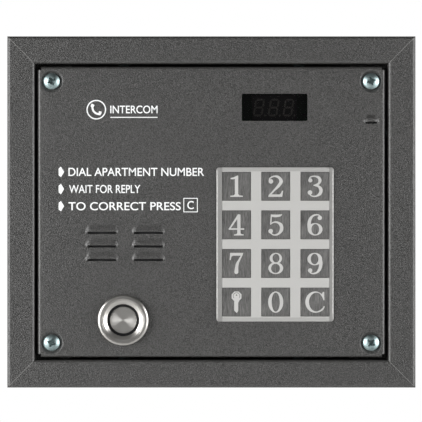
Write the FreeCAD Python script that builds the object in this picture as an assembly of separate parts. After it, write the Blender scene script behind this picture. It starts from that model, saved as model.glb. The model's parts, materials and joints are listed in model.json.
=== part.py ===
"""Flush-mounted door intercom panel: steel frame, removable front panel, keypad, speaker and key reader.

Millimetres. X runs to the right and Z up; the front faces -Y. The origin is the centre of the back box's
rear face, so every depth (Y) is negative and a smaller Y is nearer to the visitor.
"""
import FreeCAD
import Part
import math
import os

Vec = FreeCAD.Vector
ALONG_Y = Vec(0, 1, 0)

# ---- frame and box ----
FRAME_WIDTH = 208.0
FRAME_HEIGHT = 179.0
FRAME_FACE = 14.0
FRAME_SHEET = 1.5
FRAME_FRONT = -47.0
FRAME_BEND = 1.8
WALL_PLANE = -36.0
INNER_RETURN_END = -27.0
OPENING_X = FRAME_WIDTH / 2 - FRAME_FACE
OPENING_Z = FRAME_HEIGHT / 2 - FRAME_FACE

BOX_SHEET = 1.2
BOX_FRONT = FRAME_FRONT + FRAME_SHEET + 0.3
BOX_X = OPENING_X + FRAME_SHEET
BOX_Z = OPENING_Z + FRAME_SHEET
BOLT_SPACING_X = 140.0
BOLT_SPACING_Z = 100.0
BOLT_HOLE = 2.75

RIVET_Y = -32.0
RIVET_X = 45.0
RIVET_Z = 40.0
RIVET_RADIUS = 1.6

GROMMET_Y = -12.0
GROMMET_HOLE = 8.0
GROMMET_FLANGE = 9.8
GROMMET_BORE = 5.5

# ---- front panel ----
PANEL_GAP = 1.5
PANEL_SHEET = 1.5
PANEL_FRONT = FRAME_FRONT + 0.5
PANEL_BACK = PANEL_FRONT + PANEL_SHEET
PANEL_X = OPENING_X - PANEL_GAP
PANEL_Z = OPENING_Z - PANEL_GAP
PANEL_RIM = 8.0
PANEL_BEND = 1.6
RELIEF = 1.4

SCREW_X = 81.35
SCREW_Z = 66.6
DIMPLE_DEPTH = 1.2
DIMPLE_RADIUS = 5.9
SCREW_SEAT = PANEL_FRONT + DIMPLE_DEPTH
SCREW_RADIUS = 2.0
SCREW_LENGTH = 10.0
SCREW_HEAD = 4.1
SCREW_HEAD_HEIGHT = 2.7
SCREW_TURNS = (20, 62, 38, 74)
PILLAR_RADIUS = 4.0
PILLAR_FRONT = SCREW_SEAT + PANEL_SHEET + 0.05
BRACKET_FRONT = -34.0
BRACKET_SHEET = 2.0
BRACKET_REACH = 18.0

# ---- display ----
WINDOW_X = 32.2
WINDOW_Z = 53.3
WINDOW_WIDTH = 33.4
WINDOW_HEIGHT = 13.9
MODULE_WIDTH = 22.6
MODULE_HEIGHT = 13.4
MODULE_FRONT = -43.2
DIGIT_PITCH = 7.55
DIGIT_HEIGHT = 9.0
DIGIT_WIDTH = 5.0
DIGIT_SLANT = 9.0
SEGMENT = 1.0

# ---- keypad ----
PAD_X = 32.4
PAD_Z = -16.5
PAD_WIDTH = 59.6
PAD_HEIGHT = 78.6
PAD_CORNER = 1.5
PAD_FRONT = PANEL_FRONT - 0.8
PAD_BACK = -44.9
PAD_FLANGE_WIDTH = 72.0
PAD_FLANGE_HEIGHT = 91.0
PAD_FLANGE_FRONT = PANEL_BACK + 0.5
PAD_FLANGE_BACK = -42.0
KEY_COLUMNS = (12.8, 32.75, 52.7)
KEY_ROW_TOP = 13.1
KEY_ROW_PITCH = 19.65
KEY_SIZE = 14.8
KEY_HOLE = 15.1
KEY_FLANGE = 16.6
KEY_FRONT = PAD_FRONT + 0.2
KEY_BACK = -44.0
KEY_NAMES = (
    ("key_1", "key_2", "key_3"),
    ("key_4", "key_5", "key_6"),
    ("key_7", "key_8", "key_9"),
    ("key_unlock", "key_0", "key_c"),
)
MAT_FRONT = -43.0
DOME_FRONT = KEY_BACK + 0.05
PAD_STUD_X = 33.0
PAD_STUD_Z = 42.5

# ---- speaker and microphone ----
SPEAKER_X = -43.85
SPEAKER_Z = -15.5
SPEAKER_RADIUS = 25.0
SPEAKER_FRONT = PANEL_BACK + 0.5
BASKET_RIM_BACK = -42.4
BASKET_BACK = -34.0
MAGNET_RADIUS = 15.0
MAGNET_BACK = -27.5
COIL_RADIUS = 7.1
CLAMP_REACH = 28.5
LOUVRE_COLUMNS = (-55.7, -32.0)
LOUVRE_SLOTS = (-10.5, -17.4, -24.3)
LOUVRE_HALF_WIDTH = 8.9
LOUVRE_HEIGHT = 3.8
LOUVRE_PROUD = 1.6
MIC_X = 81.4
MIC_SLOT = 45.8
MIC_HALF_WIDTH = 4.3
MIC_HEIGHT = 3.6
MIC_Z = 47.2

# ---- key reader ----
READER_X = -44.9
READER_Z = -55.1
READER_FRONT = -49.0
READER_FLANGE = 12.9
READER_BODY = 9.5
READER_STEP = 10.2
SOCKET_RADIUS = 8.2
SOCKET_FRONT = -47.6
SOCKET_END = -45.6
INSULATOR_RADIUS = 8.55
CONTACT_RADIUS = 6.8

# ---- main board ----
BOARD_X = 70.0
BOARD_Z_LOW = 31.0
BOARD_Z_HIGH = 69.5
BOARD_FRONT = -36.0
BOARD_SHEET = 1.6
BOARD_BACK = BOARD_FRONT + BOARD_SHEET
BOARD_STUDS = ((-65, 35.5), (65, 35.5), (-65, 65), (65, 65))
CONNECTOR_BACK = BOARD_BACK + 6.0
MIC_PLUG_X = 61.0
MIC_PLUG_Z = 50.0
LEAD_BACK = -22.5
LEAD_RADIUS = 1.0
RIBBON_WIDTH = 19.0
STUD_RADIUS = 1.5
NUT_FLATS = 5.5
NUT_HEIGHT = 2.4


# ---- general shapes ----
def block(x0, x1, y0, y1, z0, z1):
    return Part.makeBox(x1 - x0, y1 - y0, z1 - z0, Vec(x0, y0, z0))


def rod(x, z, radius, front, back):
    return Part.makeCylinder(radius, back - front, Vec(x, front, z), ALONG_Y)


def taper(x, z, front_radius, back_radius, front, back):
    return Part.makeCone(front_radius, back_radius, back - front, Vec(x, front, z), ALONG_Y)


def ring(x, z, outer, inner, front, back):
    return rod(x, z, outer, front, back).cut(rod(x, z, inner, front, back))


def bend(before, corner, after, radius):
    """Start, middle and end of the tangent arc that rounds a corner."""
    to_before = (before - corner).normalize()
    to_after = (after - corner).normalize()
    half = to_before.getAngle(to_after) / 2
    reach = radius / math.tan(half)
    inward = (to_before + to_after).normalize()
    centre = corner + inward * (radius / math.sin(half))
    return corner + to_before * reach, centre - inward * radius, corner + to_after * reach


def outline(corners, closed=True):
    """A wire of straight runs and tangent arcs; each corner is a point and its bend radius."""
    count = len(corners)
    spans = []
    for i, (point, radius) in enumerate(corners):
        if radius > 0 and (closed or 0 < i < count - 1):
            spans.append(bend(corners[i - 1][0], point, corners[(i + 1) % count][0], radius))
        else:
            spans.append((point, None, point))
    edges = []
    for i, (start, middle, end) in enumerate(spans):
        if middle:
            edges.append(Part.Arc(start, middle, end).toShape())
        if closed or i < count - 1:
            edges.append(Part.LineSegment(end, spans[(i + 1) % count][0]).toShape())
    return Part.Wire(edges)


def plate(x, z, width, height, radius, front, back):
    """A flat plate facing the front, with rounded corners."""
    half_x = width / 2
    half_z = height / 2
    signs = ((-1, -1), (1, -1), (1, 1), (-1, 1))
    corners = [(Vec(x + sx * half_x, front, z + sz * half_z), radius) for sx, sz in signs]
    return Part.Face(outline(corners)).extrude(Vec(0, back - front, 0))


def turned(x, z, profile):
    """A piece turned about an axis along Y; the profile is a list of (radius, y)."""
    points = [Vec(x + radius, y, z) for radius, y in profile]
    face = Part.Face(Part.makePolygon(points + points[:1]))
    return face.revolve(Vec(x, 0, z), ALONG_Y, 360)


def polygon_slab(points, front, back):
    """A slab whose outline is a list of (x, z)."""
    corners = [Vec(x, front, z) for x, z in points]
    return Part.Face(Part.makePolygon(corners + corners[:1])).extrude(Vec(0, back - front, 0))


def hexagon(x, z, flats, front, back):
    reach = flats / math.sqrt(3)
    turn = math.pi / 3
    corners = [(x + reach * math.cos(i * turn), z + reach * math.sin(i * turn)) for i in range(6)]
    return polygon_slab(corners, front, back)


def tube(route, radius, bend_radius):
    """A round lead along straight runs joined by tangent arcs."""
    path = outline([(Vec(*point), bend_radius) for point in route], closed=False)
    start = Vec(*route[0])
    direction = Vec(*route[1]) - start
    section = Part.Wire(Part.makeCircle(radius, start, direction))
    return path.makePipeShell([section], True, False)


def turn_about(shape, x, z, degrees):
    turned_shape = shape.copy()
    turned_shape.rotate(Vec(x, 0, z), ALONG_Y, degrees)
    return turned_shape


def four_corners(x, z):
    return [(sx * x, sz * z) for sx in (-1, 1) for sz in (-1, 1)]


def pad_studs():
    return [(PAD_X + x, PAD_Z + z) for x, z in four_corners(PAD_STUD_X, PAD_STUD_Z)]


def clamp_studs():
    reach = CLAMP_REACH / math.sqrt(2)
    return [(SPEAKER_X + x, SPEAKER_Z + z) for x, z in four_corners(reach, reach)]


# ---- frame and box ----
def rail_profile(opening, outer):
    """A folded rail's section across (Y, Z): outer return, face and inner return."""
    inner_y = FRAME_FRONT + FRAME_SHEET
    inside_bend = FRAME_BEND - FRAME_SHEET
    return outline([
        (Vec(0, INNER_RETURN_END, opening), 0),
        (Vec(0, FRAME_FRONT, opening), FRAME_BEND),
        (Vec(0, FRAME_FRONT, outer), FRAME_BEND),
        (Vec(0, WALL_PLANE, outer), 0),
        (Vec(0, WALL_PLANE, outer - FRAME_SHEET), 0),
        (Vec(0, inner_y, outer - FRAME_SHEET), inside_bend),
        (Vec(0, inner_y, opening + FRAME_SHEET), inside_bend),
        (Vec(0, INNER_RETURN_END, opening + FRAME_SHEET), 0),
    ])


def mitred_rail(opening, outer, half_length, degrees):
    """A rail across the top, mitred at 45 degrees, turned to its side of the frame."""
    profile = rail_profile(opening, outer)
    profile.translate(Vec(-half_length, 0, 0))
    rail = Part.Face(profile).extrude(Vec(2 * half_length, 0, 0))
    foot = half_length - outer
    beyond = 20
    far = [(half_length + beyond, outer + beyond), (-half_length - beyond, outer + beyond)]
    near = [(-foot, 0), (foot, 0)] if foot > 0 else [(0, -foot)]
    wedge = polygon_slab(near + far, FRAME_FRONT - 1, 0)
    return turn_about(rail.common(wedge), 0, 0, degrees)


def rivet_places():
    """Each rivet's wall point and the outward direction of that wall."""
    places = []
    for side in (-1, 1):
        for z in (-RIVET_Z, RIVET_Z):
            places.append((Vec(side * OPENING_X, RIVET_Y, z), Vec(side, 0, 0)))
        for x in (-RIVET_X, RIVET_X):
            places.append((Vec(x, RIVET_Y, side * OPENING_Z), Vec(0, 0, side)))
    return places


def rivet_holes():
    holes = []
    for point, outward in rivet_places():
        holes.append(Part.makeCylinder(RIVET_RADIUS + 0.05, 6, point - outward * 2, outward))
    return Part.makeCompound(holes)


def frame_rails():
    holes = rivet_holes()
    half_x = FRAME_WIDTH / 2
    half_z = FRAME_HEIGHT / 2
    return {
        "frame_top_rail": mitred_rail(OPENING_Z, half_z, half_x, 0).cut(holes),
        "frame_right_rail": mitred_rail(OPENING_X, half_x, half_z, 90).cut(holes),
        "frame_bottom_rail": mitred_rail(OPENING_Z, half_z, half_x, 180).cut(holes),
        "frame_left_rail": mitred_rail(OPENING_X, half_x, half_z, 270).cut(holes),
    }


def frame_rivets():
    """Pop rivets: a low head inside the opening and a set tail outside the box."""
    rivets = []
    grip = FRAME_SHEET + BOX_SHEET
    for point, outward in rivet_places():
        shank = Part.makeCylinder(RIVET_RADIUS, grip, point, outward)
        head = Part.makeCone(2.2, 3.2, 0.9, point - outward * 0.9, outward)
        tail = Part.makeCone(2.6, 2.0, 1.2, point + outward * grip, outward)
        rivets.append(head.fuse(shank).fuse(tail).removeSplitter())
    return Part.makeCompound(rivets)


def back_box():
    side = BOX_X + BOX_SHEET
    end = BOX_Z + BOX_SHEET
    outer = block(-side, side, BOX_FRONT, 0, -end, end)
    box = outer.cut(block(-BOX_X, BOX_X, BOX_FRONT - 1, -BOX_SHEET, -BOX_Z, BOX_Z))
    for x, z in four_corners(BOLT_SPACING_X / 2, BOLT_SPACING_Z / 2):
        box = box.cut(rod(x, z, BOLT_HOLE, -5, 5))
    cable_hole = Part.makeCylinder(GROMMET_HOLE, 10, Vec(0, GROMMET_Y, -BOX_Z - 5))
    return box.cut(cable_hole).cut(rivet_holes())


def cable_grommet():
    """Rubber bush in the box's lower wall, with a flange each side of the sheet."""
    low = -BOX_Z - BOX_SHEET
    lip = 1.5
    start = Vec(0, GROMMET_Y, low - lip)
    bush = Part.makeCylinder(GROMMET_HOLE - 0.05, BOX_SHEET + 2 * lip, start)
    lower = Part.makeCylinder(GROMMET_FLANGE, lip, start)
    upper = Part.makeCylinder(GROMMET_FLANGE, lip, Vec(0, GROMMET_Y, -BOX_Z))
    bore = Part.makeCylinder(GROMMET_BORE, 20, Vec(0, GROMMET_Y, low - 10))
    return bush.fuse(lower).fuse(upper).cut(bore).removeSplitter()


def mirrored_to_corners(shape):
    """The upper right corner's piece and its three mirror images."""
    right = [shape, shape.mirror(Vec(0, 0, 0), Vec(0, 0, 1))]
    return Part.makeCompound(right + [piece.mirror(Vec(0, 0, 0), Vec(1, 0, 0)) for piece in right])


def corner_brackets():
    back = BRACKET_FRONT + BRACKET_SHEET
    left = OPENING_X - BRACKET_REACH
    low = OPENING_Z - BRACKET_REACH
    cut = 6
    floor = polygon_slab(
        [(left + cut, low), (OPENING_X, low), (OPENING_X, OPENING_Z), (left, OPENING_Z), (left, low + cut)],
        BRACKET_FRONT, back)
    side = block(OPENING_X - BRACKET_SHEET, OPENING_X, back, back + 4, low + 2, OPENING_Z)
    top = block(left + 2, OPENING_X, back, back + 4, OPENING_Z - BRACKET_SHEET, OPENING_Z)
    hole = rod(SCREW_X, SCREW_Z, SCREW_RADIUS + 0.2, BRACKET_FRONT - 1, back + 1)
    return mirrored_to_corners(floor.fuse(side).fuse(top).cut(hole).removeSplitter())


def threaded_pillars():
    pillar = ring(SCREW_X, SCREW_Z, PILLAR_RADIUS, SCREW_RADIUS + 0.05, PILLAR_FRONT, BRACKET_FRONT)
    return mirrored_to_corners(pillar)


# ---- front panel ----
def wedge_hood(x, slot, half_width, height, proud, end_slope, root):
    """A pressed hood that rises from the sheet above a slot and leans towards the visitor."""
    base = [
        Vec(x - half_width, root, slot),
        Vec(x + half_width, root, slot),
        Vec(x + half_width - end_slope / 2, root, slot + height),
        Vec(x - half_width + end_slope / 2, root, slot + height),
    ]
    tip = PANEL_FRONT - proud
    top = [
        Vec(x - half_width + end_slope, tip, slot),
        Vec(x + half_width - end_slope, tip, slot),
        Vec(x + half_width - end_slope * 1.3, tip, slot + height * 0.4),
        Vec(x - half_width + end_slope * 1.3, tip, slot + height * 0.4),
    ]
    wires = [Part.makePolygon(points + points[:1]) for points in (base, top)]
    return Part.makeLoft(wires, True, True)


def add_hood(panel, x, slot, half_width, height, proud, end_slope):
    """Press one hood out of the sheet; its slot is open downwards."""
    wall = 0.9
    outer = wedge_hood(x, slot, half_width, height, proud, end_slope, PANEL_FRONT)
    reach = half_width - wall
    inner = wedge_hood(x, slot, reach, height - wall, proud - wall, end_slope, PANEL_FRONT)
    throat = block(x - reach, x + reach, PANEL_FRONT, PANEL_BACK, slot, slot + height - 2 * wall)
    return panel.fuse(outer).cut(inner).cut(throat)


def folded_pan():
    """The panel sheet with its four edges bent back and a relief notch at each corner."""
    end = PANEL_FRONT + PANEL_RIM
    outer = block(-PANEL_X, PANEL_X, PANEL_FRONT, end, -PANEL_Z, PANEL_Z)
    front_edges = [edge for edge in outer.Edges if edge.BoundBox.YMax < PANEL_FRONT + 0.01]
    outer = outer.makeFillet(PANEL_BEND, front_edges)
    inner_x = PANEL_X - PANEL_SHEET
    inner_z = PANEL_Z - PANEL_SHEET
    pan = outer.cut(block(-inner_x, inner_x, PANEL_BACK, end + 1, -inner_z, inner_z))
    for x, z in four_corners(PANEL_X, PANEL_Z):
        pan = pan.cut(block(x - RELIEF, x + RELIEF, PANEL_FRONT - 1, end + 1, z - RELIEF, z + RELIEF))
    return pan


def through_panel(x, z, width, height, radius):
    """A cutter for a rounded opening through the panel sheet."""
    return plate(x, z, width, height, radius, PANEL_FRONT - 1, PANEL_BACK + 1)


def front_panel():
    panel = folded_pan()
    for x, z in four_corners(SCREW_X, SCREW_Z):
        panel = panel.fuse(taper(x, z, 6.6, 5.4, PANEL_BACK, SCREW_SEAT + PANEL_SHEET))
        panel = panel.cut(taper(x, z, DIMPLE_RADIUS, DIMPLE_RADIUS - 1.2, PANEL_FRONT, SCREW_SEAT))
        panel = panel.cut(rod(x, z, SCREW_RADIUS + 0.25, PANEL_FRONT, PANEL_BACK + 5))
    for x in LOUVRE_COLUMNS:
        for slot in LOUVRE_SLOTS:
            panel = add_hood(panel, x, slot, LOUVRE_HALF_WIDTH, LOUVRE_HEIGHT, LOUVRE_PROUD, 1.2)
    panel = add_hood(panel, MIC_X, MIC_SLOT, MIC_HALF_WIDTH, MIC_HEIGHT, LOUVRE_PROUD, 2.0)
    panel = panel.cut(through_panel(WINDOW_X, WINDOW_Z, WINDOW_WIDTH, WINDOW_HEIGHT, 0.8))
    panel = panel.cut(through_panel(PAD_X, PAD_Z, PAD_WIDTH + 0.2, PAD_HEIGHT + 0.2, PAD_CORNER))
    return panel.cut(rod(READER_X, READER_Z, READER_BODY + 0.1, PANEL_FRONT - 1, PANEL_BACK + 1))


def panel_screw(x, z, degrees):
    """M4 pan-head machine screw with a cross recess."""
    front = SCREW_SEAT - SCREW_HEAD_HEIGHT
    shoulder = SCREW_SEAT - 1.0
    tip = SCREW_SEAT + SCREW_LENGTH
    rise = shoulder - front
    dome_radius = (SCREW_HEAD ** 2 + rise ** 2) / (2 * rise)
    half_way = SCREW_HEAD / 2
    half_rise = dome_radius - math.sqrt(dome_radius ** 2 - half_way ** 2)
    middle = Vec(x + half_way, front + half_rise, z)
    dome = Part.Arc(Vec(x, front, z), middle, Vec(x + SCREW_HEAD, shoulder, z)).toShape()
    lower = [
        (SCREW_HEAD, shoulder), (SCREW_HEAD, SCREW_SEAT), (SCREW_RADIUS, SCREW_SEAT),
        (SCREW_RADIUS, tip - 0.5), (SCREW_RADIUS - 0.5, tip), (0, tip), (0, front)]
    sides = Part.makePolygon([Vec(x + radius, y, z) for radius, y in lower])
    screw = Part.Face(Part.Wire([dome] + sides.Edges)).revolve(Vec(x, 0, z), ALONG_Y, 360)
    arm = 2.2
    depth = 1.7
    across = block(x - arm, x + arm, front - 1, front + depth, z - 0.45, z + 0.45)
    centre = taper(x, z, 1.5, 0.7, front, front + depth + 0.4)
    recess = across.fuse(turn_about(across, x, z, 90)).fuse(centre)
    return screw.cut(turn_about(recess, x, z, degrees))


def panel_screws():
    screws = {}
    names = ("screw_lower_left", "screw_upper_left", "screw_lower_right", "screw_upper_right")
    for name, (x, z), degrees in zip(names, four_corners(SCREW_X, SCREW_Z), SCREW_TURNS):
        screws[name] = panel_screw(x, z, degrees)
    return screws


def weld_studs():
    studs = [rod(x, z, STUD_RADIUS, PANEL_BACK, -37.2) for x, z in pad_studs() + clamp_studs()]
    studs += [rod(x, z, STUD_RADIUS, PANEL_BACK, BOARD_BACK + 3.2) for x, z in BOARD_STUDS]
    return Part.makeCompound(studs)


def stud_nut(x, z, front):
    nut = hexagon(x, z, NUT_FLATS, front, front + NUT_HEIGHT)
    return nut.cut(rod(x, z, STUD_RADIUS + 0.03, front - 1, front + NUT_HEIGHT + 1))


def stud_nuts():
    nuts = [stud_nut(x, z, PAD_FLANGE_BACK + BOARD_SHEET) for x, z in pad_studs()]
    nuts += [stud_nut(x, z, BASKET_RIM_BACK + 1.5) for x, z in clamp_studs()]
    nuts += [stud_nut(x, z, BOARD_BACK) for x, z in BOARD_STUDS]
    return Part.makeCompound(nuts)


# ---- display ----
def display_window():
    """Smoked lens: the raised part fills the opening, the flange is glued behind the panel."""
    x = WINDOW_X
    z = WINDOW_Z
    lens = plate(x, z, WINDOW_WIDTH - 0.2, WINDOW_HEIGHT - 0.2, 0.7, PANEL_FRONT + 0.25, PANEL_BACK)
    flange = plate(x, z, WINDOW_WIDTH + 5, WINDOW_HEIGHT + 5, 1.5, PANEL_BACK, MODULE_FRONT - 0.3)
    return lens.fuse(flange).removeSplitter()


def display_module():
    return plate(WINDOW_X, WINDOW_Z, MODULE_WIDTH, MODULE_HEIGHT, 0.4, MODULE_FRONT, BOARD_FRONT)


def segment_bar(x, z, length, upright):
    """One pointed bar of a seven-segment digit."""
    half = length / 2 - 0.12
    side = SEGMENT / 2
    points = [
        (-half, 0), (side - half, side), (half - side, side),
        (half, 0), (half - side, -side), (side - half, -side)]
    if upright:
        points = [(b, a) for a, b in points]
    lean = math.tan(math.radians(DIGIT_SLANT))
    return [(x + a + lean * (z + b - WINDOW_Z), z + b) for a, b in points]


def display_digits():
    bars = []
    wide = DIGIT_WIDTH - SEGMENT
    tall = (DIGIT_HEIGHT - SEGMENT) / 2
    front = MODULE_FRONT - 0.1
    for digit in (-1, 0, 1):
        x = WINDOW_X + digit * DIGIT_PITCH - 0.4
        bars += [segment_bar(x, WINDOW_Z + level * tall, wide, False) for level in (-1, 0, 1)]
        for side, half in four_corners(1, 1):
            bars.append(segment_bar(x + side * wide / 2, WINDOW_Z + half * tall / 2, tall, True))
    solids = [polygon_slab(points, front, MODULE_FRONT) for points in bars]
    for digit in (-1, 0, 1):
        dot_x = WINDOW_X + digit * DIGIT_PITCH + DIGIT_WIDTH / 2 + 0.2
        solids.append(rod(dot_x, WINDOW_Z - tall, 0.5, front, MODULE_FRONT))
    return Part.makeCompound(solids)


# ---- keypad ----
def key_places():
    """Each key's name and centre, row by row from the top."""
    places = []
    for row, names in enumerate(KEY_NAMES):
        for name, x in zip(names, KEY_COLUMNS):
            places.append((name, x, KEY_ROW_TOP - row * KEY_ROW_PITCH))
    return places


def keypad_bezel():
    """Grid plate with twelve windows and a wide flange that the studs clamp behind the panel."""
    grid = plate(PAD_X, PAD_Z, PAD_WIDTH, PAD_HEIGHT, PAD_CORNER, PAD_FRONT, PAD_FLANGE_FRONT)
    front_edges = [edge for edge in grid.Edges if edge.BoundBox.YMax < PAD_FRONT + 0.01]
    grid = grid.makeFillet(0.5, front_edges)
    flange = plate(PAD_X, PAD_Z, PAD_FLANGE_WIDTH, PAD_FLANGE_HEIGHT, 3, PAD_FLANGE_FRONT, PAD_FLANGE_BACK)
    bezel = grid.fuse(flange)
    bezel = bezel.cut(plate(PAD_X, PAD_Z, 58, 77, 2, PAD_BACK, PAD_FLANGE_BACK + 1))
    for _, x, z in key_places():
        bezel = bezel.cut(plate(x, z, KEY_HOLE, KEY_HOLE, 0.15, PAD_FRONT - 1, PAD_BACK + 1))
    for x, z in pad_studs():
        bezel = bezel.cut(rod(x, z, STUD_RADIUS + 0.2, PAD_FRONT - 1, PAD_FLANGE_BACK + 1))
    return bezel


def keypad_seal():
    gasket = plate(PAD_X, PAD_Z, PAD_FLANGE_WIDTH, PAD_FLANGE_HEIGHT, 3, PANEL_BACK, PAD_FLANGE_FRONT)
    gasket = gasket.cut(through_panel(PAD_X, PAD_Z, PAD_WIDTH + 0.6, PAD_HEIGHT + 0.6, 1.5))
    for x, z in pad_studs():
        gasket = gasket.cut(rod(x, z, STUD_RADIUS + 0.2, PANEL_BACK - 1, PANEL_BACK + 2))
    return gasket


def key(x, z):
    """Metal key cap with a wider flange that keeps it behind the grid."""
    cap = plate(x, z, KEY_SIZE, KEY_SIZE, 0.12, KEY_FRONT, PAD_BACK + 0.05)
    flange = plate(x, z, KEY_FLANGE, KEY_FLANGE, 0.8, PAD_BACK + 0.05, KEY_BACK)
    return cap.fuse(flange).removeSplitter()


def keypad_mat():
    mat = plate(PAD_X, PAD_Z, 57.6, 76.6, 1.8, MAT_FRONT, PAD_FLANGE_BACK)
    for _, x, z in key_places():
        mat = mat.fuse(taper(x, z, 3.0, 4.6, DOME_FRONT, MAT_FRONT))
    return mat


def keypad_board():
    board = plate(PAD_X, PAD_Z, 71, 90, 2, PAD_FLANGE_BACK, PAD_FLANGE_BACK + BOARD_SHEET)
    for x, z in pad_studs():
        board = board.cut(rod(x, z, STUD_RADIUS + 0.2, PAD_FLANGE_BACK - 1, PAD_FLANGE_BACK + 3))
    return board


# ---- speaker and microphone ----
def speaker_basket():
    """Pressed basket: clamped rim, sloping side and the ring that carries the magnet."""
    wall = 0.8
    return turned(SPEAKER_X, SPEAKER_Z, [
        (21.6, SPEAKER_FRONT), (SPEAKER_RADIUS, SPEAKER_FRONT), (SPEAKER_RADIUS, BASKET_RIM_BACK),
        (23.2, BASKET_RIM_BACK), (16.4, BASKET_BACK), (9.5, BASKET_BACK),
        (9.5, BASKET_BACK - wall), (15.8, BASKET_BACK - wall), (21.6, -42.0)])


def speaker_magnet():
    """Ring magnet and pole pieces with the voice coil's gap."""
    gap_end = BASKET_BACK + 4.5
    magnet = rod(SPEAKER_X, SPEAKER_Z, MAGNET_RADIUS, BASKET_BACK, MAGNET_BACK)
    gap = ring(SPEAKER_X, SPEAKER_Z, COIL_RADIUS + 0.6, COIL_RADIUS - 0.8, BASKET_BACK - 1, gap_end)
    return magnet.cut(gap)


def speaker_cone():
    """Paper cone, dust cap and voice coil former in one moving piece."""
    return turned(SPEAKER_X, SPEAKER_Z, [
        (18.4, -42.9), (18.4, -42.4), (COIL_RADIUS + 0.2, -37.2), (COIL_RADIUS + 0.2, BASKET_BACK + 2.6),
        (COIL_RADIUS - 0.3, BASKET_BACK + 2.6), (COIL_RADIUS - 0.3, -38.2), (4.0, -39.6), (0, -40.1),
        (0, -40.6), (4.2, -40.1), (COIL_RADIUS + 0.2, -38.5)])


def speaker_surround():
    return turned(SPEAKER_X, SPEAKER_Z, [
        (18.4, -42.9), (19.2, -43.5), (20.8, -43.5), (21.6, -42.9),
        (21.6, -42.5), (20.6, -43.1), (19.4, -43.1), (18.4, -42.5)])


def speaker_screen():
    return rod(SPEAKER_X, SPEAKER_Z, SPEAKER_RADIUS - 0.5, PANEL_BACK, SPEAKER_FRONT)


def speaker_clamps():
    """Four tabs on studs that hold the speaker's rim."""
    tabs = []
    front = BASKET_RIM_BACK
    for i in range(4):
        x = SPEAKER_X + CLAMP_REACH
        tab = block(x - 4.6, x + 4, front, front + 1.5, SPEAKER_Z - 4, SPEAKER_Z + 4)
        foot = block(x + 2.5, x + 4, PANEL_BACK, front, SPEAKER_Z - 4, SPEAKER_Z + 4)
        hole = rod(x, SPEAKER_Z, STUD_RADIUS + 0.2, front - 1, front + 3)
        tab = tab.fuse(foot).cut(hole).removeSplitter()
        tabs.append(turn_about(tab, SPEAKER_X, SPEAKER_Z, 45 + 90 * i))
    return Part.makeCompound(tabs)


def mic_boot():
    """Rubber boot that seals the capsule to the sheet behind the hood."""
    return turned(MIC_X, MIC_Z, [
        (2.0, PANEL_BACK), (4.9, PANEL_BACK), (4.9, -43.6), (4.3, -43.0), (4.3, -38.6), (3.05, -38.6),
        (3.05, -43.4), (2.0, -43.4)])


def mic_capsule():
    return turned(MIC_X, MIC_Z, [(0, -43.4), (3.0, -43.4), (3.0, -38.4), (2.4, -38.2), (0, -38.2)])


# ---- key reader ----
def reader_housing():
    """Turned steel socket: proud flange, step, funnel, and the wall that centres a round key."""
    back = -35.0
    seat = PANEL_FRONT - 0.4
    bore = INSULATOR_RADIUS + 0.05
    return turned(READER_X, READER_Z, [
        (READER_STEP + 0.25, READER_FRONT + 0.25), (READER_STEP + 0.5, READER_FRONT),
        (READER_FLANGE - 0.9, READER_FRONT), (READER_FLANGE - 0.25, READER_FRONT + 0.35),
        (READER_FLANGE, READER_FRONT + 1.0), (READER_FLANGE, seat), (READER_BODY, seat),
        (READER_BODY, back), (bore, back), (bore, SOCKET_END),
        (SOCKET_RADIUS, SOCKET_END), (SOCKET_RADIUS, SOCKET_FRONT),
        (READER_STEP - 0.3, READER_FRONT + 0.35), (READER_STEP, READER_FRONT + 0.25)])


def reader_seal():
    return ring(READER_X, READER_Z, READER_FLANGE - 0.5, READER_BODY + 0.1, PANEL_FRONT - 0.4, PANEL_FRONT)


def reader_nut():
    nut = hexagon(READER_X, READER_Z, 21.5, PANEL_BACK, PANEL_BACK + 3.5)
    return nut.cut(rod(READER_X, READER_Z, READER_BODY + 0.05, PANEL_BACK - 1, PANEL_BACK + 5))


def reader_insulator():
    """Black cup that carries the sprung centre contact."""
    return turned(READER_X, READER_Z, [
        (CONTACT_RADIUS + 0.07, SOCKET_END), (INSULATOR_RADIUS, SOCKET_END), (INSULATOR_RADIUS, -37.0),
        (1.98, -37.0), (1.98, -41.0), (CONTACT_RADIUS + 0.07, -41.0)])


def reader_contact():
    """Centre contact: turned disc, guide stem and the collar that stops it in the cup."""
    return turned(READER_X, READER_Z, [
        (0, SOCKET_END + 0.12), (CONTACT_RADIUS - 0.5, SOCKET_END), (CONTACT_RADIUS, SOCKET_END + 0.3),
        (CONTACT_RADIUS, -43.8), (1.9, -43.8), (1.9, -36.95), (2.8, -36.95), (2.8, -36.3), (0, -36.3)])


def reader_spring():
    """Compression spring between the contact and the cup's floor."""
    wire = 0.25
    coil = 4.5
    height = 2.2
    helix = Part.makeHelix(height / 2.5, height, coil)
    section = Part.Wire(Part.makeCircle(wire, Vec(coil, 0, 0), Vec(0, 1, 0)))
    spring = helix.makePipeShell([section], True, True)
    spring.rotate(Vec(0, 0, 0), Vec(1, 0, 0), -90)
    spring.translate(Vec(READER_X, -43.8 + 1.5 * wire, READER_Z))
    return spring


# ---- main board and wiring ----
def main_board():
    height = BOARD_Z_HIGH - BOARD_Z_LOW
    middle = (BOARD_Z_HIGH + BOARD_Z_LOW) / 2
    board = plate(0, middle, 2 * BOARD_X, height, 1.5, BOARD_FRONT, BOARD_BACK)
    for x, z in BOARD_STUDS:
        board = board.cut(rod(x, z, STUD_RADIUS + 0.2, BOARD_FRONT - 1, BOARD_BACK + 1))
    return board


def board_spacers():
    hole = STUD_RADIUS + 0.15
    return Part.makeCompound([ring(x, z, 3.0, hole, PANEL_BACK, BOARD_FRONT) for x, z in BOARD_STUDS])


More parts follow.
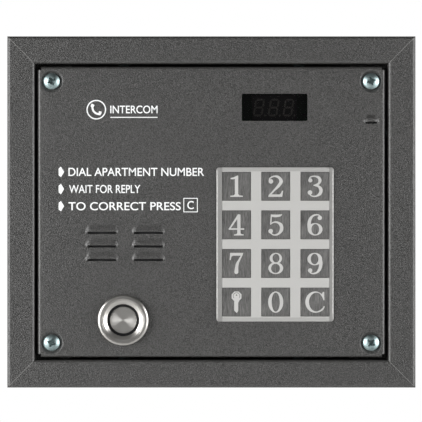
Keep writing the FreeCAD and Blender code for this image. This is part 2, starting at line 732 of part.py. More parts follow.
def chip(x, z, size, pins, height):
    """Flat package with a row of short leads along each side."""
    half = size / 2
    body = block(x - half, x + half, BOARD_BACK + 0.15, BOARD_BACK + height, z - half, z + half)
    pitch = size / pins
    width = pitch * 0.22
    reach = half + 1.0
    lead_top = BOARD_BACK + 0.4
    for i in range(pins):
        offset = (i - (pins - 1) / 2) * pitch
        low = offset - width
        high = offset + width
        body = body.fuse(block(x + low, x + high, BOARD_BACK, lead_top, z - reach, z + reach))
        body = body.fuse(block(x - reach, x + reach, BOARD_BACK, lead_top, z + low, z + high))
    return body


def microcontroller():
    return chip(-8, 52, 12, 8, 1.6)


def capacitors():
    top = BOARD_BACK + 11.5
    places = ((39, 50, 4.0), (49, 50, 4.0), (44, 60.5, 5.0))
    return Part.makeCompound([rod(x, z, radius, BOARD_BACK, top) for x, z, radius in places])


def header(x, z, width, board_back):
    """Shrouded pin header: an open-topped plastic tray with a floor."""
    half = width / 2
    floor = board_back + 2
    top = board_back + 6
    tray = block(x - half, x + half, board_back, top, z - 2.9, z + 2.9)
    hollow = block(x - half + 0.8, x + half - 0.8, floor, top + 1, z - 2.1, z + 2.1)
    plug = block(x - half + 0.9, x + half - 0.9, floor, top, z - 2.0, z + 2.0)
    return [tray.cut(hollow), plug]


def board_connectors():
    solids = header(PAD_X, 35.6, 22, BOARD_BACK)
    solids += header(-41.2, 35.6, 14, BOARD_BACK)
    solids += header(MIC_PLUG_X, MIC_PLUG_Z, 8, BOARD_BACK)
    solids += header(PAD_X, 22, 22, PAD_FLANGE_BACK + BOARD_SHEET)
    terminal = block(-8, 10, BOARD_BACK, BOARD_BACK + 9, 31.4, 39)
    for i in range(3):
        terminal = terminal.cut(rod(-5 + i * 6, 35.2, 1.9, BOARD_BACK + 5, BOARD_BACK + 10))
    return Part.makeCompound(solids + [terminal])


def trimmer_places():
    return (("trimmer_rotor_speaker", -30.0, 60.0), ("trimmer_rotor_mic", -46.0, 60.0))


def trimmer_bodies():
    bodies = []
    for _, x, z in trimmer_places():
        body = block(x - 3.4, x + 3.4, BOARD_BACK, BOARD_BACK + 4.6, z - 3.4, z + 3.4)
        bodies.append(body.cut(rod(x, z, 2.55, BOARD_BACK + 1.6, BOARD_BACK + 6)))
    return Part.makeCompound(bodies)


def trimmer_rotor(x, z):
    """Slotted rotor of a preset potentiometer."""
    rotor = rod(x, z, 2.5, BOARD_BACK + 1.7, BOARD_BACK + 4.9)
    slot = block(x - 2.0, x + 2.0, BOARD_BACK + 4.1, BOARD_BACK + 6, z - 0.35, z + 0.35)
    return rotor.cut(slot)


def ribbon_cable():
    """Flat cable from the keypad board over to the main board."""
    thick = 1.0
    route = [
        (Vec(PAD_X, PAD_FLANGE_BACK + BOARD_SHEET + 6, 22), 0), (Vec(PAD_X, LEAD_BACK - 1, 22), 3),
        (Vec(PAD_X, LEAD_BACK - 1, 35.6), 3), (Vec(PAD_X, CONNECTOR_BACK, 35.6), 0)]
    path = outline(route, closed=False)
    start = route[0][0]
    corners = [start + Vec(x, 0, z) for x, z in four_corners(RIBBON_WIDTH / 2, thick / 2)]
    section = Part.makePolygon([corners[0], corners[2], corners[3], corners[1], corners[0]])
    return path.makePipeShell([section], True, False)


def inner_leads():
    """Twin leads of the speaker, the key reader and the microphone."""
    speaker = [(SPEAKER_X, MAGNET_BACK, -6), (SPEAKER_X, LEAD_BACK, -6), (SPEAKER_X, LEAD_BACK, 35.6),
               (SPEAKER_X, CONNECTOR_BACK, 35.6)]
    reader_x = READER_X + 6.4
    reader = [(reader_x, -37.0, READER_Z), (reader_x, LEAD_BACK, READER_Z), (reader_x, LEAD_BACK, 35.6),
              (reader_x, CONNECTOR_BACK, 35.6)]
    mic = [(MIC_X, -38.2, MIC_Z), (MIC_X, LEAD_BACK, MIC_Z), (MIC_PLUG_X, LEAD_BACK, MIC_PLUG_Z),
           (MIC_PLUG_X, CONNECTOR_BACK, MIC_PLUG_Z)]
    return Part.makeCompound([tube(route, LEAD_RADIUS, 3.0) for route in (speaker, reader, mic)])


def build():
    nodes = frame_rails()
    nodes["back_box"] = back_box()
    nodes["corner_brackets"] = corner_brackets()
    nodes["threaded_pillars"] = threaded_pillars()
    nodes["frame_rivets"] = frame_rivets()
    nodes["cable_grommet"] = cable_grommet()
    nodes["front_panel"] = front_panel()
    nodes.update(panel_screws())
    nodes["weld_studs"] = weld_studs()
    nodes["stud_nuts"] = stud_nuts()
    nodes["display_window"] = display_window()
    nodes["display_module"] = display_module()
    nodes["display_digits"] = display_digits()
    nodes["keypad_bezel"] = keypad_bezel()
    nodes["keypad_seal"] = keypad_seal()
    nodes["keypad_mat"] = keypad_mat()
    nodes["keypad_board"] = keypad_board()
    for name, x, z in key_places():
        nodes[name] = key(x, z)
    nodes["speaker_basket"] = speaker_basket()
    nodes["speaker_magnet"] = speaker_magnet()
    nodes["speaker_cone"] = speaker_cone()
    nodes["speaker_surround"] = speaker_surround()
    nodes["speaker_screen"] = speaker_screen()
    nodes["speaker_clamps"] = speaker_clamps()
    nodes["mic_boot"] = mic_boot()
    nodes["mic_capsule"] = mic_capsule()
    nodes["reader_housing"] = reader_housing()
    nodes["reader_seal"] = reader_seal()
    nodes["reader_nut"] = reader_nut()
    nodes["reader_insulator"] = reader_insulator()
    nodes["reader_contact"] = reader_contact()
    nodes["reader_spring"] = reader_spring()
    nodes["main_board"] = main_board()
    nodes["board_spacers"] = board_spacers()
    nodes["microcontroller"] = microcontroller()
    nodes["capacitors"] = capacitors()
    nodes["board_connectors"] = board_connectors()
    nodes["trimmer_bodies"] = trimmer_bodies()
    for name, x, z in trimmer_places():
        nodes[name] = trimmer_rotor(x, z)
    nodes["ribbon_cable"] = ribbon_cable()
    nodes["inner_leads"] = inner_leads()
    return nodes


os.makedirs("parts", exist_ok=True)
for node, shape in build().items():
    shape.exportStep(os.path.join("parts", node + ".step"))
    state = "valid" if shape.isValid() else "INVALID"
    print(node, len(shape.Solids), "solids", round(shape.Volume, 1), "mm3", state)
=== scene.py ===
import json
import math

import bmesh
import bpy
from mathutils import Euler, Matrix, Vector
from mathutils.geometry import delaunay_2d_cdt


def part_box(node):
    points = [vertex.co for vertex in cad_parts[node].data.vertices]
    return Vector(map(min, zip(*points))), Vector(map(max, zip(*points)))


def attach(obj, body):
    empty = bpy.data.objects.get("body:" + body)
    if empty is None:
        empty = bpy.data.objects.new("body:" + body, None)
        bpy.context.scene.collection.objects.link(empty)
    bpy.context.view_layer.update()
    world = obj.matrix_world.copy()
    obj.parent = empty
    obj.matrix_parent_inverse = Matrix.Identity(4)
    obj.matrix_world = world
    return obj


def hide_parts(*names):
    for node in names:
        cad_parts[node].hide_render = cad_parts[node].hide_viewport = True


# Looks of a flush-mounted door intercom panel. Metres: X to the right, Z up, the front faces -Y.
# Sizes are given in millimetres and turned into metres where a mesh is made.

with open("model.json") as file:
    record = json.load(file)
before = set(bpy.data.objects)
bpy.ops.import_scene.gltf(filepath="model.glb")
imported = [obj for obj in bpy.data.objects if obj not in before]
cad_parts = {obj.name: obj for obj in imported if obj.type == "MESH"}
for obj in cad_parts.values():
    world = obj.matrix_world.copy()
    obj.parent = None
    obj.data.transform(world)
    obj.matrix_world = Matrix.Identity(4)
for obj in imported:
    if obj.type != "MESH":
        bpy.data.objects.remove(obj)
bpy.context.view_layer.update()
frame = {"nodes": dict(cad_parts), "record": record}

MM = 0.001
PANEL = "door_panel"
FRAME = "wall_frame"


def box_mm(node):
    """A CAD node's lowest and highest corners in millimetres."""
    low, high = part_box(node)
    return low / MM, high / MM


def middle_mm(node):
    low, high = box_mm(node)
    return (low + high) / 2


# ---- meshes ----
def new_piece(name, mesh, material, body, replaced=()):
    """Put a finished mesh in the scene with its finish, under the body that carries it, and hide the CAD
    nodes it stands for.
    """
    piece = bpy.data.objects.new(name, mesh)
    bpy.context.scene.collection.objects.link(piece)
    mesh.materials.clear()
    mesh.materials.append(material)
    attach(piece, body)
    if replaced:
        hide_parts(*replaced)
    return piece


def smooth_but_sharp(mesh, degrees):
    mesh.shade_smooth()
    mesh.set_sharp_from_angle(angle=math.radians(degrees))
    return mesh


def mesh_from(name, verts_mm, faces, sharp=35):
    """A mesh in metres from points in millimetres, smooth except across edges sharper than the angle."""
    mesh = bpy.data.meshes.new(name)
    mesh.from_pydata([Vector(v) * MM for v in verts_mm], [], faces)
    mesh.validate()
    return smooth_but_sharp(mesh, sharp)


def with_modifiers(name, mesh, add):
    """The mesh after the modifiers that add() puts on a passing object."""
    carrier = bpy.data.objects.new(name, mesh)
    bpy.context.scene.collection.objects.link(carrier)
    add(carrier)
    evaluated = carrier.evaluated_get(bpy.context.evaluated_depsgraph_get())
    result = bpy.data.meshes.new_from_object(evaluated)
    result.name = name
    bpy.data.objects.remove(carrier)
    return result


def add_bevel(carrier, limit, width, segments, degrees=32):
    """A rounding of the carrier's edges, chosen by angle or by weight."""
    bevel = carrier.modifiers.new("bevel", "BEVEL")
    bevel.limit_method = limit
    bevel.angle_limit = math.radians(degrees)
    bevel.width = width * MM
    bevel.segments = segments
    return bevel


def softened(node, material, width=0.12, segments=2, roll=None):
    """A CAD node with its hard edges rounded, in place of the bare node."""
    bm = bmesh.new()
    bm.from_mesh(frame["nodes"][node].data)
    bmesh.ops.remove_doubles(bm, verts=bm.verts, dist=2e-6)
    bmesh.ops.dissolve_limit(bm, angle_limit=math.radians(0.6), verts=bm.verts, edges=bm.edges)
    mesh = bpy.data.meshes.new(node)
    bm.to_mesh(mesh)
    bm.free()
    mesh.shade_smooth()

    def round_edges(carrier):
        if roll:
            roll(carrier, node)
        add_bevel(carrier, "ANGLE", width, segments)
        level_faces = carrier.modifiers.new("level", "WEIGHTED_NORMAL")
        level_faces.keep_sharp = True
        level_faces.weight = 90

    result = with_modifiers(node + "_finished", mesh, round_edges)
    body = next(b for b, nodes in frame["record"]["behaviour"]["bodies"].items() if node in nodes)
    return new_piece(node + "_finished", result, material, body, [node])


# ---- Geometry Nodes: heads, threads, wires and key caps ----
def add_node(tree, kind, settings=None, **inputs):
    """A node with its settings, and its inputs by name with _ for a space. A socket is linked, a value is
    set."""
    node = tree.nodes.new(kind)
    for label, value in (settings or {}).items():
        setattr(node, label, value)
    for label, value in inputs.items():
        socket = node.inputs[label.replace("_", " ")]
        if isinstance(value, bpy.types.NodeSocket):
            tree.links.new(value, socket)
        else:
            socket.default_value = value
    return node


def step(tree, kind, settings=None, **inputs):
    """The first output of a new node."""
    return add_node(tree, kind, settings, **inputs).outputs[0]


def geometry_tree(name, **sizes):
    """An empty tree with a material input and named sizes, each with its socket kind."""
    tree = bpy.data.node_groups.new(name, "GeometryNodeTree")
    for label, kind in (("Geometry", "Geometry"), ("Material", "Material"), *sizes.items()):
        tree.interface.new_socket(label, in_out="INPUT", socket_type="NodeSocket" + kind)
    tree.interface.new_socket("Geometry", in_out="OUTPUT", socket_type="NodeSocketGeometry")
    return tree, tree.nodes.new("NodeGroupInput").outputs


def end_tree(tree, given, geometry):
    """Every tree ends the same way: instances made real, and the material set."""
    real = step(tree, "GeometryNodeRealizeInstances", Geometry=geometry)
    painted = step(tree, "GeometryNodeSetMaterial", Geometry=real, Material=given["Material"])
    add_node(tree, "NodeGroupOutput", Geometry=painted)
    return tree


def on_points(tree, given, instance):
    """An instance at each point of the carrier, its Z along the point's outward direction."""
    way = step(tree, "GeometryNodeInputNamedAttribute", {"data_type": "FLOAT_VECTOR"}, Name="outward")
    turn = step(tree, "FunctionNodeAlignRotationToVector", {"axis": "Z"}, Vector=way)
    return step(tree, "GeometryNodeInstanceOnPoints", Points=given["Geometry"], Instance=instance,
                Rotation=turn)


def swept(tree, curve, sides, radius):
    """A round or many-sided rod along a curve, with closed ends."""
    section = step(tree, "GeometryNodeCurvePrimitiveCircle", Resolution=sides, Radius=radius)
    return step(tree, "GeometryNodeCurveToMesh", Curve=curve, Profile_Curve=section, Fill_Caps=True)


def domed_heads_tree():
    """Low domes, such as rivet heads and solder joints."""
    tree, given = geometry_tree("domed_heads", Radius="Float", Height="Float", Sides="Int", Rings="Int")
    ball = step(tree, "GeometryNodeMeshUVSphere", Segments=given["Sides"], Rings=given["Rings"], Radius=1.0)
    shape = step(tree, "ShaderNodeCombineXYZ", X=given["Radius"], Y=given["Radius"], Z=given["Height"])
    dome = step(tree, "GeometryNodeTransform", Geometry=ball, Scale=shape)
    return end_tree(tree, given, on_points(tree, given, dome))


def thread_tree():
    """A helical thread ridge that rises from each point."""
    tree, given = geometry_tree("helical_thread", Radius="Float", Length="Float", Turns="Float",
                                Depth="Float")
    helix = step(tree, "GeometryNodeCurveSpiral", Resolution=20, Rotations=given["Turns"],
                 Height=given["Length"],
                 Start_Radius=given["Radius"], End_Radius=given["Radius"])
    return end_tree(tree, given, on_points(tree, given, swept(tree, helix, 3, given["Depth"])))


def wire_tree():
    """Parallel round wires along the carrier's line, with its corners rounded."""
    tree, given = geometry_tree("parallel_wires", Radius="Float", Pitch="Float", Wires="Int", Bend="Float")
    line = step(tree, "GeometryNodeMeshToCurve", Mesh=given["Geometry"])
    bent = step(tree, "GeometryNodeFilletCurve", {"mode": "POLY"}, Curve=line, Radius=given["Bend"], Count=8,
                Limit_Radius=True)
    pitch = step(tree, "ShaderNodeCombineXYZ", X=given["Pitch"])
    row = step(tree, "GeometryNodeMeshLine", Count=given["Wires"], Offset=pitch)
    copies = step(tree, "GeometryNodeInstanceOnPoints", Points=row, Instance=bent)
    curves = step(tree, "GeometryNodeRealizeInstances", Geometry=copies)
    return end_tree(tree, given, swept(tree, curves, 10, given["Radius"]))


def rubber_dome_tree():
    """A low tapered dome at each point."""
    tree, given = geometry_tree("rubber_domes", Top="Float", Base="Float", Height="Float", Sides="Int")
    cone = step(tree, "GeometryNodeMeshCone", Vertices=given["Sides"], Radius_Top=given["Top"],
                Radius_Bottom=given["Base"], Depth=given["Height"])
    return end_tree(tree, given, on_points(tree, given, cone))


def key_cap_tree():
    """A square block with rounded corners at each point, standing out along its outward direction."""
    tree, given = geometry_tree("key_cap", Side="Float", Corner="Float", Thickness="Float")
    square = step(tree, "GeometryNodeCurvePrimitiveQuadrilateral", Width=given["Side"], Height=given["Side"])
    rounded = step(tree, "GeometryNodeFilletCurve", {"mode": "POLY"}, Curve=square, Radius=given["Corner"],
                   Count=4)
    face = step(tree, "GeometryNodeFillCurve", {"mode": "NGONS"}, Curve=rounded)
    rise = step(tree, "ShaderNodeCombineXYZ", Z=given["Thickness"])
    raised = step(tree, "GeometryNodeExtrudeMesh", Mesh=face, Offset=rise, Individual=False)
    back = step(tree, "GeometryNodeFlipFaces", Mesh=face)
    both = tree.nodes.new("GeometryNodeJoinGeometry")
    for part in (raised, back):
        tree.links.new(part, both.inputs[0])
    closed = step(tree, "GeometryNodeMergeByDistance", Geometry=both.outputs[0], Distance=1e-6)
    return end_tree(tree, given, on_points(tree, given, closed))


def grown(name, tree, start, material, after=None, **sizes):
    """The plain mesh that a tree grows on a starting mesh; lengths are given in millimetres."""
    given = {"Material": material, **sizes}

    def add(carrier):
        modifier = carrier.modifiers.new("grow", "NODES")
        modifier.node_group = tree
        for item in tree.interface.items_tree:
            if item.in_out == "INPUT" and item.name in given:
                value = given[item.name]
                modifier[item.identifier] = value * MM if item.socket_type == "NodeSocketFloat" else value
        if after:
            after(carrier)

    return smooth_but_sharp(with_modifiers(name, start, add), 40)


def start_points(name, places_mm, outward_way=(0, 1, 0)):
    """Loose points for a tree, each with the direction that its instance stands along."""
    mesh = bpy.data.meshes.new(name)
    mesh.from_pydata([Vector(place) * MM for place in places_mm], [], [])
    ways = mesh.attributes.new("outward", "FLOAT_VECTOR", "POINT")
    for i, item in enumerate(ways.data):
        item.vector = outward_way[i] if isinstance(outward_way, list) else outward_way
    return mesh


def start_line(name, places_mm):
    mesh = bpy.data.meshes.new(name)
    mesh.from_pydata([Vector(p) * MM for p in places_mm], [(i, i + 1) for i in range(len(places_mm) - 1)], [])
    return mesh


DOMES = domed_heads_tree()
THREAD = thread_tree()
WIRES = wire_tree()
KEY_CAP = key_cap_tree()
RUBBER_DOME = rubber_dome_tree()


# ---- outlines in (x, z), and solids made from them ----
def ellipse(x, z, rx, rz, count=56, start=0.0):
    turn = 2 * math.pi / count
    return [(x + rx * math.cos(start + i * turn), z + rz * math.sin(start + i * turn)) for i in range(count)]


def circle(x, z, radius, count=48, start=0.0):
    return ellipse(x, z, radius, radius, count, start)


def between(a, b, steps):
    """Points from a towards b, without b."""
    return [(a[0] + (b[0] - a[0]) * k / steps, a[1] + (b[1] - a[1]) * k / steps) for k in range(steps)]


def rounded_rectangle(x, z, width, height, radius, arc=6, spacing=None):
    """A rectangle's outline with rounded corners, and with points along its sides if a spacing is given."""
    points = []
    for i, (sx, sz) in enumerate(((1, 1), (-1, 1), (-1, -1), (1, -1))):
        cx = x + sx * (width / 2 - radius)
        cz = z + sz * (height / 2 - radius)
        points += [(cx + radius * math.cos((i + k / arc) * math.pi / 2),
                    cz + radius * math.sin((i + k / arc) * math.pi / 2)) for k in range(arc + 1)]
    if spacing is None:
        return points
    dense = []
    for a, b in zip(points, points[1:] + points[:1]):
        dense += between(a, b, max(1, round(math.dist(a, b) / spacing)))
    return dense


def anticlockwise(loop):
    area = sum(a[0] * b[1] - b[0] * a[1] for a, b in zip(loop, loop[1:] + loop[:1]))
    return loop if area > 0 else loop[::-1]


def fill(parts, points=()):
    """Triangles of flat shapes. A part is (outlines, holes), and a triangle stays if some part covers it.
    Returns the points in use and the triangles, turned anticlockwise in (x, z)."""
    flat = []
    loops = []
    owner = []
    for index, (outlines, holes) in enumerate(parts):
        for kind, group in (("solid", outlines), ("hole", holes)):
            for loop in group:
                loops.append(list(range(len(flat), len(flat) + len(loop))))
                flat += [Vector(p) for p in anticlockwise(loop)]
                owner.append((index, kind))
    flat += [Vector(p) for p in points]
    out, _, triangles, _, _, sources = delaunay_2d_cdt(flat, [], loops, 0, 1e-5, True)
    kept = []
    for triangle, source in zip(triangles, sources):
        solid = {owner[s][0] for s in source if owner[s][1] == "solid"}
        hole = {owner[s][0] for s in source if owner[s][1] == "hole"}
        if solid - hole:
            a, b, c = (out[i] for i in triangle)
            turned = (b - a).cross(c - a) > 0
            kept.append(tuple(triangle) if turned else tuple(reversed(triangle)))
    used = sorted({i for triangle in kept for i in triangle})
    place = {old: new for new, old in enumerate(used)}
    return [(out[i].x, out[i].y) for i in used], [tuple(place[i] for i in triangle) for triangle in kept]


def slab_shape(parts, front, back, points=()):
    """A closed slab with a flat back. front is a Y, or a function of (x, z) that gives it."""
    flat, faces = fill(parts, points)
    depth = front if callable(front) else lambda x, z: front
    count = len(flat)
    verts = [(x, depth(x, z), z) for x, z in flat] + [(x, back, z) for x, z in flat]
    # seen from -Y, X runs right and Z up, so an anticlockwise triangle faces the front
    edges = dict.fromkeys(edge for a, b, c in faces for edge in ((a, b), (b, c), (c, a)))
    walls = [(b, a, a + count, b + count) for a, b in edges if (b, a) not in edges]
    backs = [tuple(i + count for i in reversed(face)) for face in faces]
    return verts, faces + backs + walls


def joined(*shapes):
    """Several (points, faces) shapes as one."""
    verts = []
    faces = []
    for more_verts, more_faces in shapes:
        start = len(verts)
        verts += more_verts
        faces += [tuple(i + start for i in face) for face in more_faces]
    return verts, faces


def lathe(x, z, profile, segments=144):
    """A closed piece turned about an axis along Y, from the outline of its section as (radius, y)."""
    rings = []
    verts = []
    for radius, y in profile:
        if radius < 1e-6:
            rings.append([len(verts)] * segments)
            verts.append((x, y, z))
        else:
            rings.append(list(range(len(verts), len(verts) + segments)))
            verts += [(px, y, pz) for px, pz in circle(x, z, radius, segments)]
    faces = []
    for near, far in zip(rings, rings[1:] + rings[:1]):
        for i in range(segments):
            j = (i + 1) % segments
            corners = [near[i], near[j], far[j], far[i]]
            corners = [c for k, c in enumerate(corners) if c not in corners[:k]]
            if len(corners) > 2:
                faces.append(tuple(corners))
    return verts, faces


def outward(shape):
    """The shape with its normals pointing out."""
    verts, faces = shape
    bm = bmesh.new()
    made = [bm.verts.new(v) for v in verts]
    for face in faces:
        bm.faces.new([made[i] for i in face])
    bmesh.ops.remove_doubles(bm, verts=bm.verts, dist=1e-4)
    bmesh.ops.recalc_face_normals(bm, faces=bm.faces)
    bm.verts.index_update()
    result = ([tuple(v.co) for v in bm.verts], [tuple(v.index for v in f.verts) for f in bm.faces])
    bm.free()
    return result


def smoothstep(low, high, value):
    t = min(1.0, max(0.0, (value - low) / (high - low)))
    return t * t * (3 - 2 * t)


# ---- shared effects ----
def node_group(name, inputs, *outputs):
    """An empty shader group with named inputs (name and default) and named value outputs."""
    group = bpy.data.node_groups.new(name, "ShaderNodeTree")
    for label, default in inputs.items():
        socket = group.interface.new_socket(label, in_out="INPUT", socket_type="NodeSocketFloat")
        socket.default_value = default
    for label in outputs:
        group.interface.new_socket(label, in_out="OUTPUT", socket_type="NodeSocketFloat")
    return group, group.nodes.new("NodeGroupInput").outputs


def object_place(tree):
    return add_node(tree, "ShaderNodeTexCoord").outputs["Object"]


def noise(tree, place, scale, detail, roughness):
    return step(tree, "ShaderNodeTexNoise", Vector=place, Scale=scale, Detail=detail, Roughness=roughness)


def calculate(tree, operation, first, second=0):
    node = add_node(tree, "ShaderNodeMath", {"operation": operation})
    for socket, value in zip(node.inputs, (first, second)):
        if isinstance(value, (int, float)):
            socket.default_value = value
        else:
            tree.links.new(value, socket)
    return node.outputs[0]


def sand_grain_group():
    """Fine sandy texture of a powder coat: a height and a speckle mask."""
    group, given = node_group("sand_grain", {"Scale": 1500.0, "Speckle": 0.5}, "Height", "Mask")
    place = object_place(group)
    cells = step(group, "ShaderNodeTexVoronoi", {"feature": "SMOOTH_F1"}, Vector=place, Scale=given["Scale"])
    fine = noise(group, place, calculate(group, "MULTIPLY", given["Scale"], 1.4), 2.0, 0.6)
    grains = calculate(group, "MULTIPLY", calculate(group, "SUBTRACT", 1.0, cells), 0.5)
    lifted = calculate(group, "SUBTRACT", fine, given["Speckle"])
    add_node(group, "NodeGroupOutput", Height=calculate(group, "ADD", grains, fine),
             Mask=calculate(group, "MULTIPLY", lifted, 4.0))
    return group


def brush_group(name, stretch):
    """Streaks left by brushing along one direction: value and height."""
    group, given = node_group(name, {"Contrast": 1.0}, "Streaks", "Height")
    place = step(group, "ShaderNodeMapping", Vector=object_place(group), Scale=stretch)
    wide = noise(group, place, 1.0, 3.0, 0.65)
    thin = noise(group, place, 3.1, 2.0, 0.6)
    mixed = calculate(group, "ADD", wide, calculate(group, "MULTIPLY", thin, 0.6))
    centred = calculate(group, "SUBTRACT", mixed, 0.8)
    add_node(group, "NodeGroupOutput", Streaks=calculate(group, "MULTIPLY", centred, given["Contrast"]),
             Height=mixed)
    return group


def blotch_group():
    """Slow variation of colour and gloss over a surface."""
    group, given = node_group("slow_blotches", {"Scale": 30.0}, "Value")
    cloud = noise(group, object_place(group), given["Scale"], 3.0, 0.55)
    add_node(group, "NodeGroupOutput", Value=calculate(group, "SUBTRACT", cloud, 0.5))
    return group


SAND = sand_grain_group()
BRUSH_UP = brush_group("upright_brushing", (3800, 3800, 150))
BLOTCH = blotch_group()


# ---- materials ----
def principled(name, color, roughness, metallic=0.0, **extra):
    material = bpy.data.materials.new(name)
    material.use_nodes = True
    shader = material.node_tree.nodes["Principled BSDF"]
    shader.inputs["Base Color"].default_value = (*color, 1)
    shader.inputs["Roughness"].default_value = roughness
    shader.inputs["Metallic"].default_value = metallic
    for label, value in extra.items():
        shader.inputs[label.replace("_", " ")].default_value = value
    return material, material.node_tree, shader


def use_group(tree, group, **values):
    return add_node(tree, "ShaderNodeGroup", {"node_tree": group}, **values).outputs


def tint(tree, shader, color, value, amount):
    """Base colour that brightens and darkens with a value centred on zero."""
    mix = add_node(tree, "ShaderNodeMix", {"data_type": "RGBA"})
    mix.inputs["A"].default_value = (*(max(0.0, c * (1 - amount)) for c in color), 1)
    mix.inputs["B"].default_value = (*(c * (1 + amount) for c in color), 1)
    tree.links.new(calculate(tree, "ADD", value, 0.5), mix.inputs["Factor"])
    tree.links.new(mix.outputs["Result"], shader.inputs["Base Color"])


def vary_roughness(tree, shader, base, value, amount):
    changed = calculate(tree, "ADD", calculate(tree, "MULTIPLY", value, amount), base)
    tree.links.new(changed, shader.inputs["Roughness"])


def bump(tree, shader, height, strength, distance_mm):
    normal = step(tree, "ShaderNodeBump", Strength=strength, Distance=distance_mm * MM, Height=height)
    tree.links.new(normal, shader.inputs["Normal"])


def powder_coat():
    color = (0.0450, 0.0442, 0.0428)
    roughness = 0.36
    material, tree, shader = principled("textured_powder_coat", color, roughness, Coat_Weight=0.4,
                                        Coat_Roughness=0.27)
    grain = use_group(tree, SAND, Scale=1500.0, Speckle=0.5)
    slow = calculate(tree, "MULTIPLY", use_group(tree, BLOTCH, Scale=18.0)["Value"], 0.2)
    tint(tree, shader, color, calculate(tree, "ADD", grain["Mask"], slow), 0.5)
    vary_roughness(tree, shader, roughness, grain["Mask"], 0.1)
    bump(tree, shader, grain["Height"], 1.0, 0.3)
    return material


def plain(name, color, roughness, metallic=0.0, grain=3000.0, amount=0.08, height_mm=0.01, blotch=60.0,
          **extra):
    """A moulded or plated finish with a fine grain, slow blotches and a little unevenness in its gloss."""
    material, tree, shader = principled(name, color, roughness, metallic, **extra)
    sand = use_group(tree, SAND, Scale=grain, Speckle=0.5)
    cloud = use_group(tree, BLOTCH, Scale=blotch)["Value"]
    tint(tree, shader, color, cloud, amount * 2)
    vary_roughness(tree, shader, roughness, cloud, roughness * 0.5)
    bump(tree, shader, sand["Height"], 0.4, height_mm)
    return material


def brushed_key():
    color = (0.140, 0.138, 0.135)
    roughness = 0.42
    material, tree, shader = principled("dark_brushed_metal", color, roughness, 0.5)
    brush = use_group(tree, BRUSH_UP, Contrast=3.0)
    tint(tree, shader, color, brush["Streaks"], 0.55)
    vary_roughness(tree, shader, roughness, brush["Streaks"], 0.1)
    bump(tree, shader, brush["Height"], 0.25, 0.02)
    return material


def beyond(tree, coordinate, middle, reach):
    """1 where a coordinate is farther than the reach from a middle, else 0."""
    away = calculate(tree, "ABSOLUTE", calculate(tree, "SUBTRACT", coordinate, middle * MM))
    return calculate(tree, "GREATER_THAN", away, reach * MM)


def grid_metal(middle_x, shaded_side_reach, middle_z, end_margin):
    """Blasted light metal, brushed in its side margins, where painted shade darkens the rolled-back sides,
    and a little darker at its ends.
    """
    color = (0.525, 0.52, 0.505)
    roughness = 0.5
    material, tree, shader = principled("blasted_light_metal", (0.5, 0.495, 0.48), roughness, 0.3)
    place = add_node(tree, "ShaderNodeSeparateXYZ", Vector=object_place(tree)).outputs
    shaded_sides = beyond(tree, place["X"], middle_x, shaded_side_reach)
    ends = calculate(tree, "MULTIPLY", beyond(tree, place["Z"], middle_z, end_margin),
                     calculate(tree, "SUBTRACT", 1.0, shaded_sides))
    brush = use_group(tree, BRUSH_UP, Contrast=0.15)
    sand = use_group(tree, SAND, Scale=4500.0, Speckle=0.5)
    level = calculate(tree, "MULTIPLY", brush["Streaks"], shaded_sides)
    # Painted shade: the side margins are darkened to stand for the dim reflection on the rolled-back sides;
    # the ends are only a little darker.
    for value, amount in ((sand["Mask"], 0.06), (shaded_sides, -0.24), (ends, -0.12)):
        level = calculate(tree, "ADD", level, calculate(tree, "MULTIPLY", value, amount))
    tint(tree, shader, color, level, 0.9)
    vary_roughness(tree, shader, roughness, shaded_sides, -0.08)
    bump(tree, shader, sand["Height"], 0.3, 0.006)
    return material


def turned_steel(name, color, roughness, anisotropy, x_mm, z_mm):
    """Steel turned on a lathe: fine rings round the axis at (x, z)."""
    material, tree, shader = principled(name, color, roughness, 1.0, Anisotropic=anisotropy,
                                        Anisotropic_Rotation=0.25)
    centred = step(tree, "ShaderNodeMapping", Vector=object_place(tree), Location=(-x_mm * MM, 0, -z_mm * MM))
    place = add_node(tree, "ShaderNodeSeparateXYZ", Vector=centred).outputs
    flat = step(tree, "ShaderNodeCombineXYZ", X=place["X"], Y=place["Z"])
    reach = add_node(tree, "ShaderNodeVectorMath", {"operation": "LENGTH"}, Vector=flat).outputs["Value"]
    rings = step(tree, "ShaderNodeTexNoise", {"noise_dimensions": "1D"}, W=reach, Scale=9000.0, Detail=3.0)
    bump(tree, shader, rings, 0.12, 0.01)
    vary_roughness(tree, shader, roughness, calculate(tree, "SUBTRACT", rings, 0.5), 0.15)
    tangent = step(tree, "ShaderNodeTangent", {"direction_type": "RADIAL", "axis": "Y"})
    tree.links.new(tangent, shader.inputs["Tangent"])
    return material


def circuit_board():
    """Green solder mask over copper tracks."""
    color = (0.016, 0.105, 0.040)
    material, tree, shader = principled("green_solder_mask", color, 0.3, Coat_Weight=0.4, Coat_Roughness=0.15)
    turned = step(tree, "ShaderNodeMapping", Vector=object_place(tree), Rotation=(math.pi / 2, 0, 0))
    tracks = add_node(tree, "ShaderNodeTexBrick", Vector=turned, Scale=260.0, Mortar_Size=0.09,
                      Color1=(*color, 1),
                      Color2=(0.012, 0.080, 0.030, 1), Mortar=(0.035, 0.170, 0.060, 1)).outputs
    tree.links.new(tracks["Color"], shader.inputs["Base Color"])
    bump(tree, shader, tracks["Fac"], 0.2, 0.03)
    return material


def smoked_acrylic():
    roughness = 0.05
    material, tree, shader = principled("smoked_acrylic", (0.003, 0.003, 0.0032), roughness, Alpha=0.5)
    vary_roughness(tree, shader, roughness, use_group(tree, BLOTCH, Scale=40.0)["Value"], 0.03)
    return material


